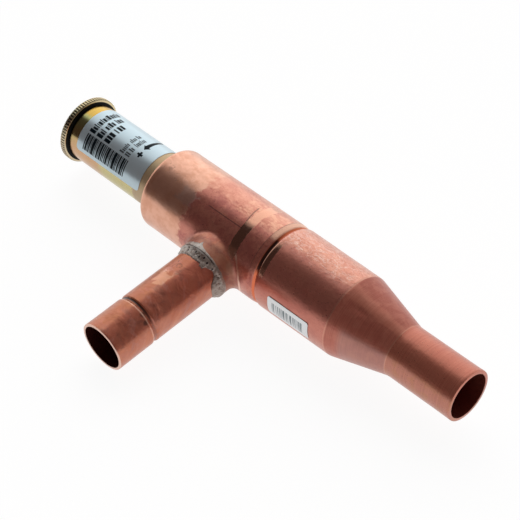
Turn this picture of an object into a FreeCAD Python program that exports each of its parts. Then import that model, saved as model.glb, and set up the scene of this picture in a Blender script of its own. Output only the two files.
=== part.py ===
import FreeCAD, Part
import math
import os

# Hot gas bypass valve: a copper capacity regulator with soldered tube sockets.
# Millimetres. The origin is the centre of the outlet socket's mouth, +X points out of the
# outlet, -Y out of the inlet and +Z up. Along the main axis every place is a station,
# counted from the inlet's axis: positive towards the outlet, negative towards the cap.

Vector = FreeCAD.Vector

# Reaches from the crossing of the two axes
OUTLET_REACH = 98.0          # to the outlet's mouth
INLET_REACH = 63.0           # to the inlet's mouth
CAP_REACH = 81.0             # to the cap's outer face

# Copper tube of the body, drawn to a cone and a socket at the outlet
BODY_OD = 30.0
BODY_WALL = 1.2
SOCKET_BORE = 15.95          # takes 5/8 in. (15.88 mm) tube
BODY_END = 36.0              # station of the closed end's face, towards the cap
BODY_END_CORNER = 1.6
CONE_START = 50.9
CONE_START_OD = 29.6
CONE_START_BEND = 6.0
CONE_END = 71.8
CONE_END_BEND = 9.0
RIM_CHAMFER = 0.3

# Groove rolled into the body to lock the valve seat
GROOVE_STATION = 19.2
GROOVE_DEPTH = 1.15
GROOVE_BEVEL = 2.8           # length of the gentle side, towards the cap
GROOVE_STEP = 0.9            # length of the steep side, towards the outlet
GROOVE_BEND = 1.1
GROOVE_CREASE = 0.25

# Neck pulled out of the body's side for the inlet tube
NECK_OD = 20.44
NECK_BEND = 2.8
NECK_STRAIGHT = 1.8          # from the bend to the neck's end
TUBE_FIT = 0.12              # radial gap between the neck and the tube in it

# Inlet tube with a rolled stop for the pipe
INLET_WALL = 0.925
TUBE_OVERLAP = 3.1           # how far the tube goes into the neck
SOCKET_DEPTH = 14.2
STOP_WIDTH = 2.4
STOP_FLAT = 0.8
STOP_DEPTH = 0.65

# Braze round the inlet joint
BRAZE_BULGE = 0.4
BRAZE_ON_NECK = 1.4
BRAZE_ON_TUBE = 3.0
BRAZE_LUMPS = [              # distance past the neck's end, degrees from the outlet side, radius
    (-1.7, 103, 1.7),
    (-0.2, 150, 1.7),
    (1.0, 62, 1.8),
    (0.6, 20, 1.8),
    (0.2, -16, 1.9),
    (1.4, -34, 1.7),
    (0.0, -75, 1.8),
    (0.2, -140, 1.7),
]

# Brass spring housing
HOUSING_OD = 21.2
THREAD_BORE = 18.0
HOUSING_COLLAR = 3.8
COLLAR_CHAMFER = 0.6
HOUSING_FIT = 0.05           # radial gap where the housing passes or meets the copper
WEB_STOP = 24.0              # station of the web's face, on which the spring foot rests
WEB_THICKNESS = 2.5
HOUSING_CHAMFER = 0.4
HOUSING_BRAZE = 0.9

# Cap and gasket
FLANGE_THICKNESS = 2.6
FLANGE_OD = 24.88
KNURL_TEETH = 74
KNURL_DEPTH = 0.42
KNURL_MARGIN = 0.4           # plain rim beside the knurl
CAP_RECESS_DEPTH = 0.5
CAP_RECESS_OD = 15.0
SPIGOT_LENGTH = 7.0
SPIGOT_BORE = 12.0
SPIGOT_BORE_DEPTH = 8.0
GASKET_THICKNESS = 0.5
GASKET_OD = 23.0
GASKET_FIT = 0.15
THREAD_FIT = 0.07

# Setting screw with its hex socket, and the spring plates
SCREW_DEPTH = 10.9           # from the housing's mouth to the screw's face
SCREW_LENGTH = 7.0
SCREW_CHAMFER = 0.5
HEX_ACROSS_FLATS = 8.0
HEX_DEPTH = 6.0
NOSE_OD = 6.0
NOSE_LENGTH = 2.0
PLATE_THICKNESS = 2.0
PLATE_FIT = 0.5              # radial gap between a plate and the housing
PLATE_BOSS_LENGTH = 2.5
BOSS_FIT = 0.3               # radial gap between a boss and the spring

# Main spring
WIRE_D = 2.2
SPRING_MEAN_D = 14.6
SPRING_TURNS = 7.5
SPRING_END_PITCH = 2.3
SPRING_GROUND = 0.5          # how much of the wire's radius is ground off each end
SPRING_POINTS = 12           # of the wire's path, per turn
WIRE_SIDES = 8               # the round wire is drawn with eight flats, to keep it light

# Equalising bellows and its end cap
BELLOWS_OD = 21.6
BELLOWS_ID = 16.6
BELLOWS_SHEET = 0.25
BELLOWS_CUFF = 1.9
BELLOWS_FOLDS = 7
BELLOWS_LENGTH = 19.8
BELLOWS_FIT = 0.03
END_CAP_FLANGE = 1.0
END_CAP_LIP = 0.5

# Spindle
SPINDLE_D = 5.0
SPINDLE_COLLAR_D = 8.0
SPINDLE_COLLAR = 1.5
SPINDLE_NOSE_D = 4.0
SPINDLE_TAIL_D = 3.2
SPINDLE_SOCKET = 2.0         # how far the spindle goes into the spring foot's boss
GUIDE_FIT = 0.05
SEATED_FIT = 0.02            # radial gap of pieces fixed on the spindle

# Seat, valve plate and its nut
SEAT_AHEAD = 5.6             # seat ring's reach from the groove's crease, towards the cap
SEAT_BEHIND = 2.3            # and towards the outlet
SEAT_BORE = 17.2
SEAT_LIP = 0.9
SEAT_LIP_WIDTH = 1.0
SEAT_FIT = 0.02
VALVE_TRAVEL = 3.0
VALVE_OD = 21.2
VALVE_THICKNESS = 2.0
NUT_ACROSS_FLATS = 7.0
NUT_THICKNESS = 2.6

# Damping device on the outlet side
PISTON_GAP = 5.0             # from the nut to the piston
PISTON_LENGTH = 4.0
PISTON_PLAY = 0.1
PISTON_RING_WIDTH = 1.5
PISTON_RING_DEPTH = 0.7
PISTON_RING_FIT = 0.04
CLIP_THICKNESS = 0.8
CLIP_OD = 6.4
CLIP_GROOVE = 0.35
TAIL_END = 0.7
DAMPER_BORE = 10.0
DAMPER_WALL = 1.2
DAMPER_MOUTH = 3.5           # how far the cylinder reaches past the piston's face
DAMPER_FLOOR = 1.5
DAMPER_BLEED_D = 1.2
SPIDER_WIDTH = 3.0
SPIDER_SETBACK = 0.9         # of the spider's rim from the cone's start
SPIDER_RIM = 1.2
SPIDER_ARM = 2.4
SPIDER_ARMS = 3
SPIDER_FIT = 0.01

# Paper labels
LABEL_THICKNESS = 0.12
LABEL_GLUE = 0.02
RATING_LABEL_FROM_MOUTH = 4.3
RATING_LABEL_FROM_BODY = 5.2
RATING_LABEL_LOW = 12.5      # degrees up from the side that faces the inlet
RATING_LABEL_HIGH = 158.0
RATING_LABEL_CORNER = 1.4
SMALL_LABEL_FROM_GROOVE = 7.05
SMALL_LABEL_LENGTH = 17.85
SMALL_LABEL_LOW = -13.8
SMALL_LABEL_HIGH = 14.7
SMALL_LABEL_CORNER = 0.8

# Radii and stations that follow from the sizes above
BODY_R = BODY_OD / 2
BODY_IN_R = BODY_R - BODY_WALL
SOCKET_R = SOCKET_BORE / 2
OUTLET_R = SOCKET_R + BODY_WALL
CONE_R = CONE_START_OD / 2
NECK_R = NECK_OD / 2
NECK_REACH = BODY_R + NECK_BEND + NECK_STRAIGHT
INLET_R = SOCKET_R + INLET_WALL
HOUSING_R = HOUSING_OD / 2
THREAD_R = THREAD_BORE / 2
SPINDLE_R = SPINDLE_D / 2
SPINDLE_NOSE_R = SPINDLE_NOSE_D / 2
SPINDLE_TAIL_R = SPINDLE_TAIL_D / 2
WIRE_R = WIRE_D / 2
SPRING_R = SPRING_MEAN_D / 2
DAMPER_R = DAMPER_BORE / 2

CAP_FACE = -CAP_REACH
FLANGE_FACE = CAP_FACE + FLANGE_THICKNESS
HOUSING_MOUTH = FLANGE_FACE + GASKET_THICKNESS
BODY_END_FACE = -BODY_END
BODY_END_INSIDE = BODY_END_FACE + BODY_WALL
SCREW_FACE = HOUSING_MOUTH + SCREW_DEPTH
SCREW_BOTTOM = SCREW_FACE + SCREW_LENGTH
UPPER_PLATE_TOP = SCREW_BOTTOM + NOSE_LENGTH
SPRING_TOP = UPPER_PLATE_TOP + PLATE_THICKNESS
FOOT_STOP = -WEB_STOP
SPRING_BOTTOM = FOOT_STOP - PLATE_THICKNESS
HOUSING_BOTTOM = FOOT_STOP + WEB_THICKNESS
BELLOWS_TOP = HOUSING_BOTTOM
BELLOWS_BOTTOM = BELLOWS_TOP + BELLOWS_LENGTH
END_CAP_BACK = BELLOWS_BOTTOM + END_CAP_FLANGE
COLLAR_BACK = END_CAP_BACK + SPINDLE_COLLAR
SEAT_FRONT = GROOVE_STATION - SEAT_AHEAD
SEAT_BACK = GROOVE_STATION + SEAT_BEHIND
LIP_FACE = SEAT_BACK + SEAT_LIP
VALVE_FACE = LIP_FACE + VALVE_TRAVEL
VALVE_BACK = VALVE_FACE + VALVE_THICKNESS
NUT_BACK = VALVE_BACK + NUT_THICKNESS
PISTON_FACE = NUT_BACK + PISTON_GAP
PISTON_BACK = PISTON_FACE + PISTON_LENGTH
TAIL_BACK = PISTON_BACK + CLIP_THICKNESS + TAIL_END
DAMPER_FRONT = PISTON_FACE - DAMPER_MOUTH
SPIDER_BACK = CONE_START - SPIDER_SETBACK
SPIDER_FRONT = SPIDER_BACK - SPIDER_WIDTH
DAMPER_INSIDE = SPIDER_BACK - DAMPER_FLOOR
SPINDLE_TOP = SPRING_BOTTOM - SPINDLE_SOCKET
BOSS_R = SPRING_R - WIRE_R - BOSS_FIT
PLATE_R = THREAD_R - PLATE_FIT
SPIGOT_R = THREAD_R - THREAD_FIT
CUFF_IN_R = BELLOWS_ID / 2
CUFF_OUT_R = CUFF_IN_R + BELLOWS_SHEET
PISTON_R = DAMPER_R - PISTON_PLAY


def main_point(station, radius):
    """A point of a section turned about the main axis."""
    return Vector(station - OUTLET_REACH, radius, 0)


def side_point(distance, radius):
    """A point of a section turned about the inlet's axis."""
    return Vector(radius - OUTLET_REACH, -distance, 0)


TOUCH = 1e-5                 # closer than this, two points are one
MAIN_AXIS = (main_point, Vector(0, 0, 0), Vector(1, 0, 0))
SIDE_AXIS = (side_point, Vector(-OUTLET_REACH, 0, 0), Vector(0, -1, 0))


def unit(a, b):
    """Unit direction from a to b, and the length between them."""
    length = math.hypot(b[0] - a[0], b[1] - a[1])
    return (b[0] - a[0]) / length, (b[1] - a[1]) / length, length


def inset(outline, distance):
    """An open outline moved sideways by distance, to the right of its direction of travel.

    Each point is (station, radius, bend); a bend that turns away from the move gets
    tighter, and one that turns towards it gets wider, as in a bent sheet."""
    lines = []
    for a, b in zip(outline, outline[1:]):
        ux, uy, _ = unit(a, b)
        lines.append((a[0] + uy * distance, a[1] - ux * distance, ux, uy))
    first, last = lines[0], lines[-1]
    end = outline[-1]
    moved = [(first[0], first[1], 0)]
    for one, two, corner in zip(lines, lines[1:], outline[1:]):
        cross = one[2] * two[3] - one[3] * two[2]
        gap = ((two[0] - one[0]) * two[3] - (two[1] - one[1]) * two[2]) / cross
        bend = corner[2] + distance if cross > 0 else max(corner[2] - distance, 0)
        moved.append((one[0] + one[2] * gap, one[1] + one[3] * gap, bend if corner[2] else 0))
    moved.append((end[0] + last[3] * distance, end[1] - last[2] * distance, 0))
    return moved


def section_wire(points, place, closed=True):
    """Wire through (station, radius, bend) points, with an arc at each bend."""
    count = len(points)
    pieces = []
    for i, point in enumerate(points):
        bend = point[2] if len(point) > 2 else 0
        if not bend:
            pieces.append((place(point[0], point[1]),))
            continue
        before, after = points[i - 1], points[(i + 1) % count]
        ax, ay, _ = unit(point, before)
        bx, by, _ = unit(point, after)
        half = math.acos(max(-1, min(1, ax * bx + ay * by))) / 2
        run = bend / math.tan(half)
        mx, my, _ = unit((0, 0), (ax + bx, ay + by))
        reach = bend / math.sin(half) - bend
        pieces.append((place(point[0] + ax * run, point[1] + ay * run),
                       place(point[0] + mx * reach, point[1] + my * reach),
                       place(point[0] + bx * run, point[1] + by * run)))
    edges = []
    for i, piece in enumerate(pieces):
        if len(piece) == 3:
            edges.append(Part.Arc(*piece).toShape())
        if i + 1 < count or closed:
            start, end = piece[-1], pieces[(i + 1) % count][0]
            if start.distanceToPoint(end) > TOUCH:
                edges.append(Part.LineSegment(start, end).toShape())
    return Part.Wire(edges)


def turned(points, axis=MAIN_AXIS):
    """Solid turned from a closed section of (station, radius[, bend]) points."""
    place, base, direction = axis
    return Part.Face(section_wire(points, place)).revolve(base, direction, 360)


def rod(start, end, radius, axis=MAIN_AXIS):
    """Plain cylinder between two stations."""
    return turned([(start, 0), (end, 0), (end, radius), (start, radius)], axis)


def ring(start, end, inner, outer, axis=MAIN_AXIS):
    """Plain ring between two stations."""
    return turned([(start, inner), (end, inner), (end, outer), (start, outer)], axis)


def hexagon_bar(start, end, across_flats):
    """Hexagonal bar along the main axis."""
    corner = across_flats / 2 / math.cos(math.pi / 6)
    points = []
    for k in range(7):
        angle = math.pi / 3 * k
        x = start - OUTLET_REACH
        points.append(Vector(x, corner * math.cos(angle), corner * math.sin(angle)))
    return Part.Face(Part.makePolygon(points)).extrude(Vector(end - start, 0, 0))


def body_outline():
    """Outside of the copper body from its closed end to the outlet's mouth."""
    crease = BODY_R - GROOVE_DEPTH
    return [
        (BODY_END_FACE, HOUSING_R + HOUSING_FIT, 0),
        (BODY_END_FACE, BODY_R, BODY_END_CORNER),
        (GROOVE_STATION - GROOVE_BEVEL, BODY_R, GROOVE_BEND),
        (GROOVE_STATION, crease, GROOVE_CREASE),
        (GROOVE_STATION + GROOVE_STEP, BODY_R, GROOVE_BEND),
        (CONE_START, CONE_R, CONE_START_BEND),
        (CONE_END, OUTLET_R, CONE_END_BEND),
        (OUTLET_REACH, OUTLET_R, 0),
    ]


def filleted_neck(core, core_radius, neck_radius, bend):
    """A turned core with the side neck fused to it, and their meeting edge rounded."""
    neck = rod(0, NECK_REACH, neck_radius, SIDE_AXIS)
    joined = core.fuse(neck).removeSplitter()

    def on_both(point):
        from_main = math.hypot(point.y, point.z)
        from_side = math.hypot(point.x + OUTLET_REACH, point.z)
        return abs(from_main - core_radius) < TOUCH and abs(from_side - neck_radius) < TOUCH

    meeting = [edge for edge in joined.Edges
               if all(on_both(point) for point in edge.discretize(5))]
    return joined.makeFillet(bend, meeting)


def valve_body():
    """One copper piece: closed end, rolled groove, pulled neck, cone and outlet socket."""
    outside = body_outline()
    inside = inset(outside, BODY_WALL)
    mouth = outside[-1]
    rim = [(mouth[0] - RIM_CHAMFER, mouth[1]), (mouth[0], mouth[1] - RIM_CHAMFER)]
    solid_core = turned([(BODY_END_FACE, 0)] + outside[1:-1] + rim + [(OUTLET_REACH, 0)])
    hollow_core = turned([(BODY_END_INSIDE, 0)] + inside[1:] + [(OUTLET_REACH, 0)])
    metal = filleted_neck(solid_core, BODY_R, NECK_R, NECK_BEND)
    hollow = filleted_neck(hollow_core, BODY_IN_R, INLET_R + TUBE_FIT, NECK_BEND + BODY_WALL)
    entry = rod(BODY_END_FACE, BODY_END_INSIDE, HOUSING_R + HOUSING_FIT)
    return metal.cut(hollow).cut(entry)


def inlet_tube():
    """Copper tube brazed into the neck, with a stop rolled in for the pipe."""
    stop = INLET_REACH - SOCKET_DEPTH - STOP_WIDTH / 2
    slope = (STOP_WIDTH - STOP_FLAT) / 2
    outside = [
        (NECK_REACH - TUBE_OVERLAP, INLET_R, 0),
        (stop - STOP_FLAT / 2 - slope, INLET_R, 0.5),
        (stop - STOP_FLAT / 2, INLET_R - STOP_DEPTH, 0.3),
        (stop + STOP_FLAT / 2, INLET_R - STOP_DEPTH, 0.3),
        (stop + STOP_FLAT / 2 + slope, INLET_R, 0.5),
        (INLET_REACH, INLET_R, 0),
    ]
    inside = inset(outside, INLET_WALL)
    rim = [(INLET_REACH - RIM_CHAMFER, INLET_R), (INLET_REACH, INLET_R - RIM_CHAMFER)]
    return turned(outside[:-1] + rim + inside[::-1], SIDE_AXIS)


def inlet_braze(body):
    """Uneven braze bead round the inlet joint, with the runs and drips of handwork."""
    bead = [
        (NECK_REACH - BRAZE_ON_NECK, NECK_R),
        (NECK_REACH - BRAZE_BULGE, NECK_R + BRAZE_BULGE),
        (NECK_REACH + BRAZE_BULGE, NECK_R + BRAZE_BULGE / 3),
        (NECK_REACH + BRAZE_ON_TUBE, INLET_R + SEATED_FIT),
        (NECK_REACH, INLET_R + SEATED_FIT),
        (NECK_REACH, NECK_R),
    ]
    metal = turned(bead, SIDE_AXIS)
    for distance, degrees, size in BRAZE_LUMPS:
        angle = math.radians(degrees)
        centre = side_point(NECK_REACH + distance, INLET_R * math.cos(angle))
        centre.z = INLET_R * math.sin(angle)
        metal = metal.fuse(Part.makeSphere(size, centre))
    tube = rod(0, INLET_REACH, INLET_R + SEATED_FIT, SIDE_AXIS)
    neck = rod(0, NECK_REACH, NECK_R - SEATED_FIT, SIDE_AXIS)
    return metal.cut(tube).cut(neck).cut(body).removeSplitter()


def spring_housing():
    """Brass housing: threaded tube, soldering collar, spindle guide and bellows spigot."""
    collar = BODY_IN_R - HOUSING_FIT
    spigot = CUFF_IN_R - BELLOWS_FIT
    guide = SPINDLE_R + GUIDE_FIT
    return turned([
        (HOUSING_MOUTH, THREAD_R + HOUSING_CHAMFER),
        (HOUSING_MOUTH, HOUSING_R - HOUSING_CHAMFER),
        (HOUSING_MOUTH + HOUSING_CHAMFER, HOUSING_R),
        (BODY_END_INSIDE, HOUSING_R),
        (BODY_END_INSIDE, collar - COLLAR_CHAMFER),
        (BODY_END_INSIDE + COLLAR_CHAMFER, collar),
        (BODY_END_INSIDE + HOUSING_COLLAR, collar),
        (BODY_END_INSIDE + HOUSING_COLLAR, HOUSING_R),
        (HOUSING_BOTTOM, HOUSING_R),
        (HOUSING_BOTTOM, spigot),
        (HOUSING_BOTTOM + BELLOWS_CUFF, spigot),
        (HOUSING_BOTTOM + BELLOWS_CUFF, guide),
        (FOOT_STOP, guide),
        (FOOT_STOP, THREAD_R),
        (HOUSING_MOUTH + HOUSING_CHAMFER, THREAD_R),
    ])


def housing_braze():
    """Fillet of solder where the brass housing leaves the copper body."""
    inner = HOUSING_R + SEATED_FIT
    return turned([
        (BODY_END_FACE - HOUSING_BRAZE, inner),
        (BODY_END_FACE, inner),
        (BODY_END_FACE, inner + HOUSING_BRAZE),
    ])


def knurled_disc(start, end):
    """Disc with straight knurling all round."""
    points = []
    for k in range(2 * KNURL_TEETH + 1):
        radius = FLANGE_OD / 2 - (k % 2) * KNURL_DEPTH
        angle = math.pi * k / KNURL_TEETH
        x = start - OUTLET_REACH
        points.append(Vector(x, radius * math.cos(angle), radius * math.sin(angle)))
    return Part.Face(Part.makePolygon(points)).extrude(Vector(end - start, 0, 0))


def protective_cap():
    """Brass screw cap: knurled flange with plain rims, and a hollow threaded spigot."""
    rim = FLANGE_OD / 2 - KNURL_DEPTH
    spigot_end = FLANGE_FACE + SPIGOT_LENGTH
    bore_floor = spigot_end - SPIGOT_BORE_DEPTH
    recess = CAP_RECESS_OD / 2
    blank = turned([
        (CAP_FACE + CAP_RECESS_DEPTH, 0),
        (CAP_FACE + CAP_RECESS_DEPTH, recess),
        (CAP_FACE, recess + CAP_RECESS_DEPTH),
        (CAP_FACE, rim - KNURL_MARGIN),
        (CAP_FACE + KNURL_MARGIN, rim),
        (FLANGE_FACE - KNURL_MARGIN, rim),
        (FLANGE_FACE, rim - KNURL_MARGIN),
        (FLANGE_FACE, SPIGOT_R),
        (spigot_end - HOUSING_CHAMFER, SPIGOT_R),
        (spigot_end, SPIGOT_R - HOUSING_CHAMFER),
        (spigot_end, SPIGOT_BORE / 2),
        (bore_floor, SPIGOT_BORE / 2),
        (bore_floor, 0),
    ])
    knurl = knurled_disc(CAP_FACE + KNURL_MARGIN, FLANGE_FACE - KNURL_MARGIN)
    middle = ring(CAP_FACE + KNURL_MARGIN, FLANGE_FACE - KNURL_MARGIN, 0, SPIGOT_R)
    return blank.fuse(knurl.cut(middle)).removeSplitter()


def cap_gasket():
    """Black sealing ring under the cap's flange."""
    return ring(FLANGE_FACE, HOUSING_MOUTH, SPIGOT_R + GASKET_FIT, GASKET_OD / 2)


def setting_screw():
    """Threaded plug with a hex socket, and a nose that pushes on the spring plate."""
    screw = turned([
        (SCREW_FACE, 0),
        (SCREW_FACE, SPIGOT_R - SCREW_CHAMFER),
        (SCREW_FACE + SCREW_CHAMFER, SPIGOT_R),
        (SCREW_BOTTOM - SCREW_CHAMFER, SPIGOT_R),
        (SCREW_BOTTOM, SPIGOT_R - SCREW_CHAMFER),
        (SCREW_BOTTOM, NOSE_OD / 2),
        (UPPER_PLATE_TOP, NOSE_OD / 2),
        (UPPER_PLATE_TOP, 0),
    ])
    return screw.cut(hexagon_bar(SCREW_FACE, SCREW_FACE + HEX_DEPTH, HEX_ACROSS_FLATS))


def spring_plate():
    """Plate between the setting screw and the main spring, with a centring boss."""
    return turned([
        (UPPER_PLATE_TOP, 0),
        (UPPER_PLATE_TOP, PLATE_R),
        (SPRING_TOP, PLATE_R),
        (SPRING_TOP, BOSS_R),
        (SPRING_TOP + PLATE_BOSS_LENGTH, BOSS_R - SCREW_CHAMFER),
        (SPRING_TOP + PLATE_BOSS_LENGTH, 0),
    ])


def spring_foot():
    """Lower plate on the spindle's head; it rests on the housing's web when the valve is open."""
    bore = SPINDLE_R + SEATED_FIT
    return turned([
        (SPRING_BOTTOM - PLATE_BOSS_LENGTH, 0),
        (SPRING_BOTTOM - PLATE_BOSS_LENGTH, BOSS_R - SCREW_CHAMFER),
        (SPRING_BOTTOM, BOSS_R),
        (SPRING_BOTTOM, PLATE_R),
        (FOOT_STOP, PLATE_R),
        (FOOT_STOP, bore),
        (SPINDLE_TOP, bore),
        (SPINDLE_TOP, 0),
    ])


def main_spring():
    """Compression spring with closed, ground ends."""
    inset_ends = WIRE_R * (1 - SPRING_GROUND)
    start = SPRING_TOP + inset_ends
    rise = SPRING_BOTTOM - inset_ends - start
    open_pitch = (rise - 2 * SPRING_END_PITCH) / (SPRING_TURNS - 2)
    path = []
    for k in range(int(SPRING_TURNS * SPRING_POINTS) + 1):
        turn = k / SPRING_POINTS
        middle = min(max(turn - 1, 0), SPRING_TURNS - 2)
        ends = turn - middle
        station = start + ends * SPRING_END_PITCH + middle * open_pitch
        angle = 2 * math.pi * turn
        path.append(Vector(station - OUTLET_REACH,
                           SPRING_R * math.cos(angle), SPRING_R * math.sin(angle)))
    curve = Part.BSplineCurve()
    curve.interpolate(path)
    section = []
    for k in range(WIRE_SIDES + 1):
        angle = 2 * math.pi * (k + 0.5) / WIRE_SIDES
        section.append(path[0] + Vector(WIRE_R * math.sin(angle), WIRE_R * math.cos(angle), 0))
    wire = Part.Wire(curve.toShape()).makePipeShell([Part.makePolygon(section)], True, True)
    return wire.common(rod(SPRING_TOP, SPRING_BOTTOM, SPRING_R + WIRE_D))


def bellows():
    """Thin folded tube, with a straight cuff at each end."""
    fold = (BELLOWS_LENGTH - 2 * BELLOWS_CUFF) / BELLOWS_FOLDS
    outside = [(BELLOWS_TOP, CUFF_OUT_R, 0)]
    for k in range(BELLOWS_FOLDS):
        root = BELLOWS_TOP + BELLOWS_CUFF + k * fold
        outside.append((root, CUFF_OUT_R, 0))
        outside.append((root + fold / 2, BELLOWS_OD / 2, 0))
    outside.append((BELLOWS_BOTTOM - BELLOWS_CUFF, CUFF_OUT_R, 0))
    outside.append((BELLOWS_BOTTOM, CUFF_OUT_R, 0))
    return turned(outside + inset(outside, BELLOWS_SHEET)[::-1])


def bellows_end_cap():
    """Disc that closes the bellows and is held on the spindle's collar."""
    bore = SPINDLE_R + SEATED_FIT
    plug = CUFF_IN_R - BELLOWS_FIT
    front = BELLOWS_BOTTOM - BELLOWS_CUFF
    return turned([
        (front, bore),
        (front, plug),
        (BELLOWS_BOTTOM, plug),
        (BELLOWS_BOTTOM, CUFF_OUT_R + END_CAP_LIP),
        (END_CAP_BACK, CUFF_OUT_R + END_CAP_LIP),
        (END_CAP_BACK, bore),
    ])


def spindle():
    """Steel spindle with a collar, a threaded nose for the nut and a tail for the piston."""
    groove = SPINDLE_TAIL_R - CLIP_GROOVE
    collar = SPINDLE_COLLAR_D / 2
    return turned([
        (SPINDLE_TOP, 0),
        (SPINDLE_TOP, SPINDLE_R),
        (END_CAP_BACK, SPINDLE_R),
        (END_CAP_BACK, collar),
        (COLLAR_BACK, collar),
        (COLLAR_BACK, SPINDLE_R),
        (VALVE_FACE, SPINDLE_R),
        (VALVE_FACE, SPINDLE_NOSE_R),
        (PISTON_FACE, SPINDLE_NOSE_R),
        (PISTON_FACE, SPINDLE_TAIL_R),
        (PISTON_BACK, SPINDLE_TAIL_R),
        (PISTON_BACK, groove),
        (PISTON_BACK + CLIP_THICKNESS, groove),
        (PISTON_BACK + CLIP_THICKNESS, SPINDLE_TAIL_R),
        (TAIL_BACK, SPINDLE_TAIL_R),
        (TAIL_BACK, 0),
    ])


def wall_outline(gap):
    """Inside of the copper body, kept gap clear of it, from the groove to the cone."""
    return inset(body_outline(), BODY_WALL + gap)[2:6]


def wall_radius(gap, station):
    """Radius gap clear of the copper's inside between the groove and the cone."""
    _, _, step, cone = wall_outline(gap)
    share = (station - step[0]) / (cone[0] - step[0])
    return step[1] + share * (cone[1] - step[1])


def valve_seat():
    """Seat ring, grooved for the bead rolled into the body, with a raised lip."""
    bevel, crease, step, _ = wall_outline(SEAT_FIT)
    bore = SEAT_BORE / 2
    return turned([
        (SEAT_FRONT, bore + SEAT_LIP_WIDTH),
        (SEAT_FRONT, bevel[1]),
        bevel,
        crease,
        (step[0], step[1]),
        (SEAT_BACK, wall_radius(SEAT_FIT, SEAT_BACK)),
        (SEAT_BACK, bore + SEAT_LIP_WIDTH),
        (LIP_FACE, bore + SEAT_LIP_WIDTH / 2),
        (LIP_FACE, bore),
        (SEAT_FRONT + SEAT_LIP_WIDTH, bore),
    ])


def valve_plate():
    """Flat disc that closes on the seat's lip from the outlet side."""
    outer = VALVE_OD / 2
    edge = VALVE_THICKNESS / 4
    return turned([
        (VALVE_FACE, SPINDLE_NOSE_R + SEATED_FIT),
        (VALVE_FACE, outer),
        (VALVE_BACK - edge, outer),
        (VALVE_BACK, outer - edge),
        (VALVE_BACK, SPINDLE_NOSE_R + SEATED_FIT),
    ])


def valve_nut():
    """Nut that clamps the valve plate against the spindle's shoulder."""
    blank = hexagon_bar(VALVE_BACK, NUT_BACK, NUT_ACROSS_FLATS)
    return blank.cut(rod(VALVE_BACK, NUT_BACK, SPINDLE_NOSE_R + SEATED_FIT))


def damper_piston():
    """Piston of the damping device, grooved for its ring."""
    bore = SPINDLE_TAIL_R + SEATED_FIT
    middle = (PISTON_FACE + PISTON_BACK) / 2
    floor = PISTON_R - PISTON_RING_DEPTH
    return turned([
        (PISTON_FACE, bore),
        (PISTON_FACE, PISTON_R),
        (middle - PISTON_RING_WIDTH / 2, PISTON_R),
        (middle - PISTON_RING_WIDTH / 2, floor),
        (middle + PISTON_RING_WIDTH / 2, floor),
        (middle + PISTON_RING_WIDTH / 2, PISTON_R),
        (PISTON_BACK, PISTON_R),
        (PISTON_BACK, bore),
    ])


def piston_ring():
    """Plastic ring that runs in the damper's bore."""
    middle = (PISTON_FACE + PISTON_BACK) / 2
    inner = PISTON_R - PISTON_RING_DEPTH + SEATED_FIT
    start = middle - PISTON_RING_WIDTH / 2
    return ring(start, start + PISTON_RING_WIDTH, inner, DAMPER_R - PISTON_RING_FIT)


def piston_clip():
    """Open snap ring that keeps the piston on the spindle's tail."""
    inner = SPINDLE_TAIL_R - CLIP_GROOVE + SEATED_FIT
    end = PISTON_BACK + CLIP_THICKNESS
    whole = ring(PISTON_BACK, end, inner, CLIP_OD / 2)
    width = SPINDLE_TAIL_R
    corner = main_point(PISTON_BACK, 0) + Vector(0, -width / 2, 0)
    return whole.cut(Part.makeBox(CLIP_THICKNESS, width, CLIP_OD, corner))


def damper_cylinder():
    """Dashpot cylinder carried by a spider whose rim bears on the start of the cone."""
    outer = DAMPER_R + DAMPER_WALL
    rim_out = wall_radius(SPIDER_FIT, SPIDER_BACK)
    cup = turned([
        (DAMPER_FRONT, DAMPER_R),
        (DAMPER_FRONT, outer),
        (SPIDER_BACK, outer),
        (SPIDER_BACK, DAMPER_BLEED_D / 2),
        (DAMPER_INSIDE, DAMPER_BLEED_D / 2),
        (DAMPER_INSIDE, DAMPER_R),
    ])
    holder = cup.fuse(ring(SPIDER_FRONT, SPIDER_BACK, rim_out - SPIDER_RIM, rim_out))
    reach = rim_out - SPIDER_RIM / 2
    for k in range(SPIDER_ARMS):
        corner = main_point(SPIDER_FRONT, -SPIDER_ARM / 2) + Vector(0, 0, DAMPER_R)
        arm = Part.makeBox(SPIDER_WIDTH, SPIDER_ARM, reach - DAMPER_R, corner)
        arm.rotate(Vector(0, 0, 0), Vector(1, 0, 0), 360 * k / SPIDER_ARMS)
        clear = rod(SPIDER_FRONT, DAMPER_INSIDE, DAMPER_R)
        holder = holder.fuse(arm.cut(clear))
    return holder.removeSplitter()


def wrapped_label(start, end, low, high, corner, radius_at):
    """Paper label wrapped round the main axis, with rounded corners.

    low and high are degrees from the side that faces the inlet, upwards."""
    section = []
    for station, lift in ((start, 0), (end, 0), (end, 1), (start, 1), (start, 0)):
        radius = radius_at(station) + LABEL_GLUE + lift * LABEL_THICKNESS
        section.append(main_point(station, -radius))
    face = Part.Face(Part.makePolygon(section))
    face.rotate(Vector(0, 0, 0), Vector(-1, 0, 0), low)
    sheet = face.revolve(Vector(0, 0, 0), Vector(-1, 0, 0), high - low)
    corners = [edge for edge in sheet.Edges if edge.Length < 2 * LABEL_THICKNESS]
    return sheet.makeFillet(corner, corners)


def rating_label():
    """Large label round the spring housing."""
    start = HOUSING_MOUTH + RATING_LABEL_FROM_MOUTH
    end = BODY_END_FACE - RATING_LABEL_FROM_BODY
    return wrapped_label(start, end, RATING_LABEL_LOW, RATING_LABEL_HIGH,
                         RATING_LABEL_CORNER, lambda station: HOUSING_R)


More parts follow.
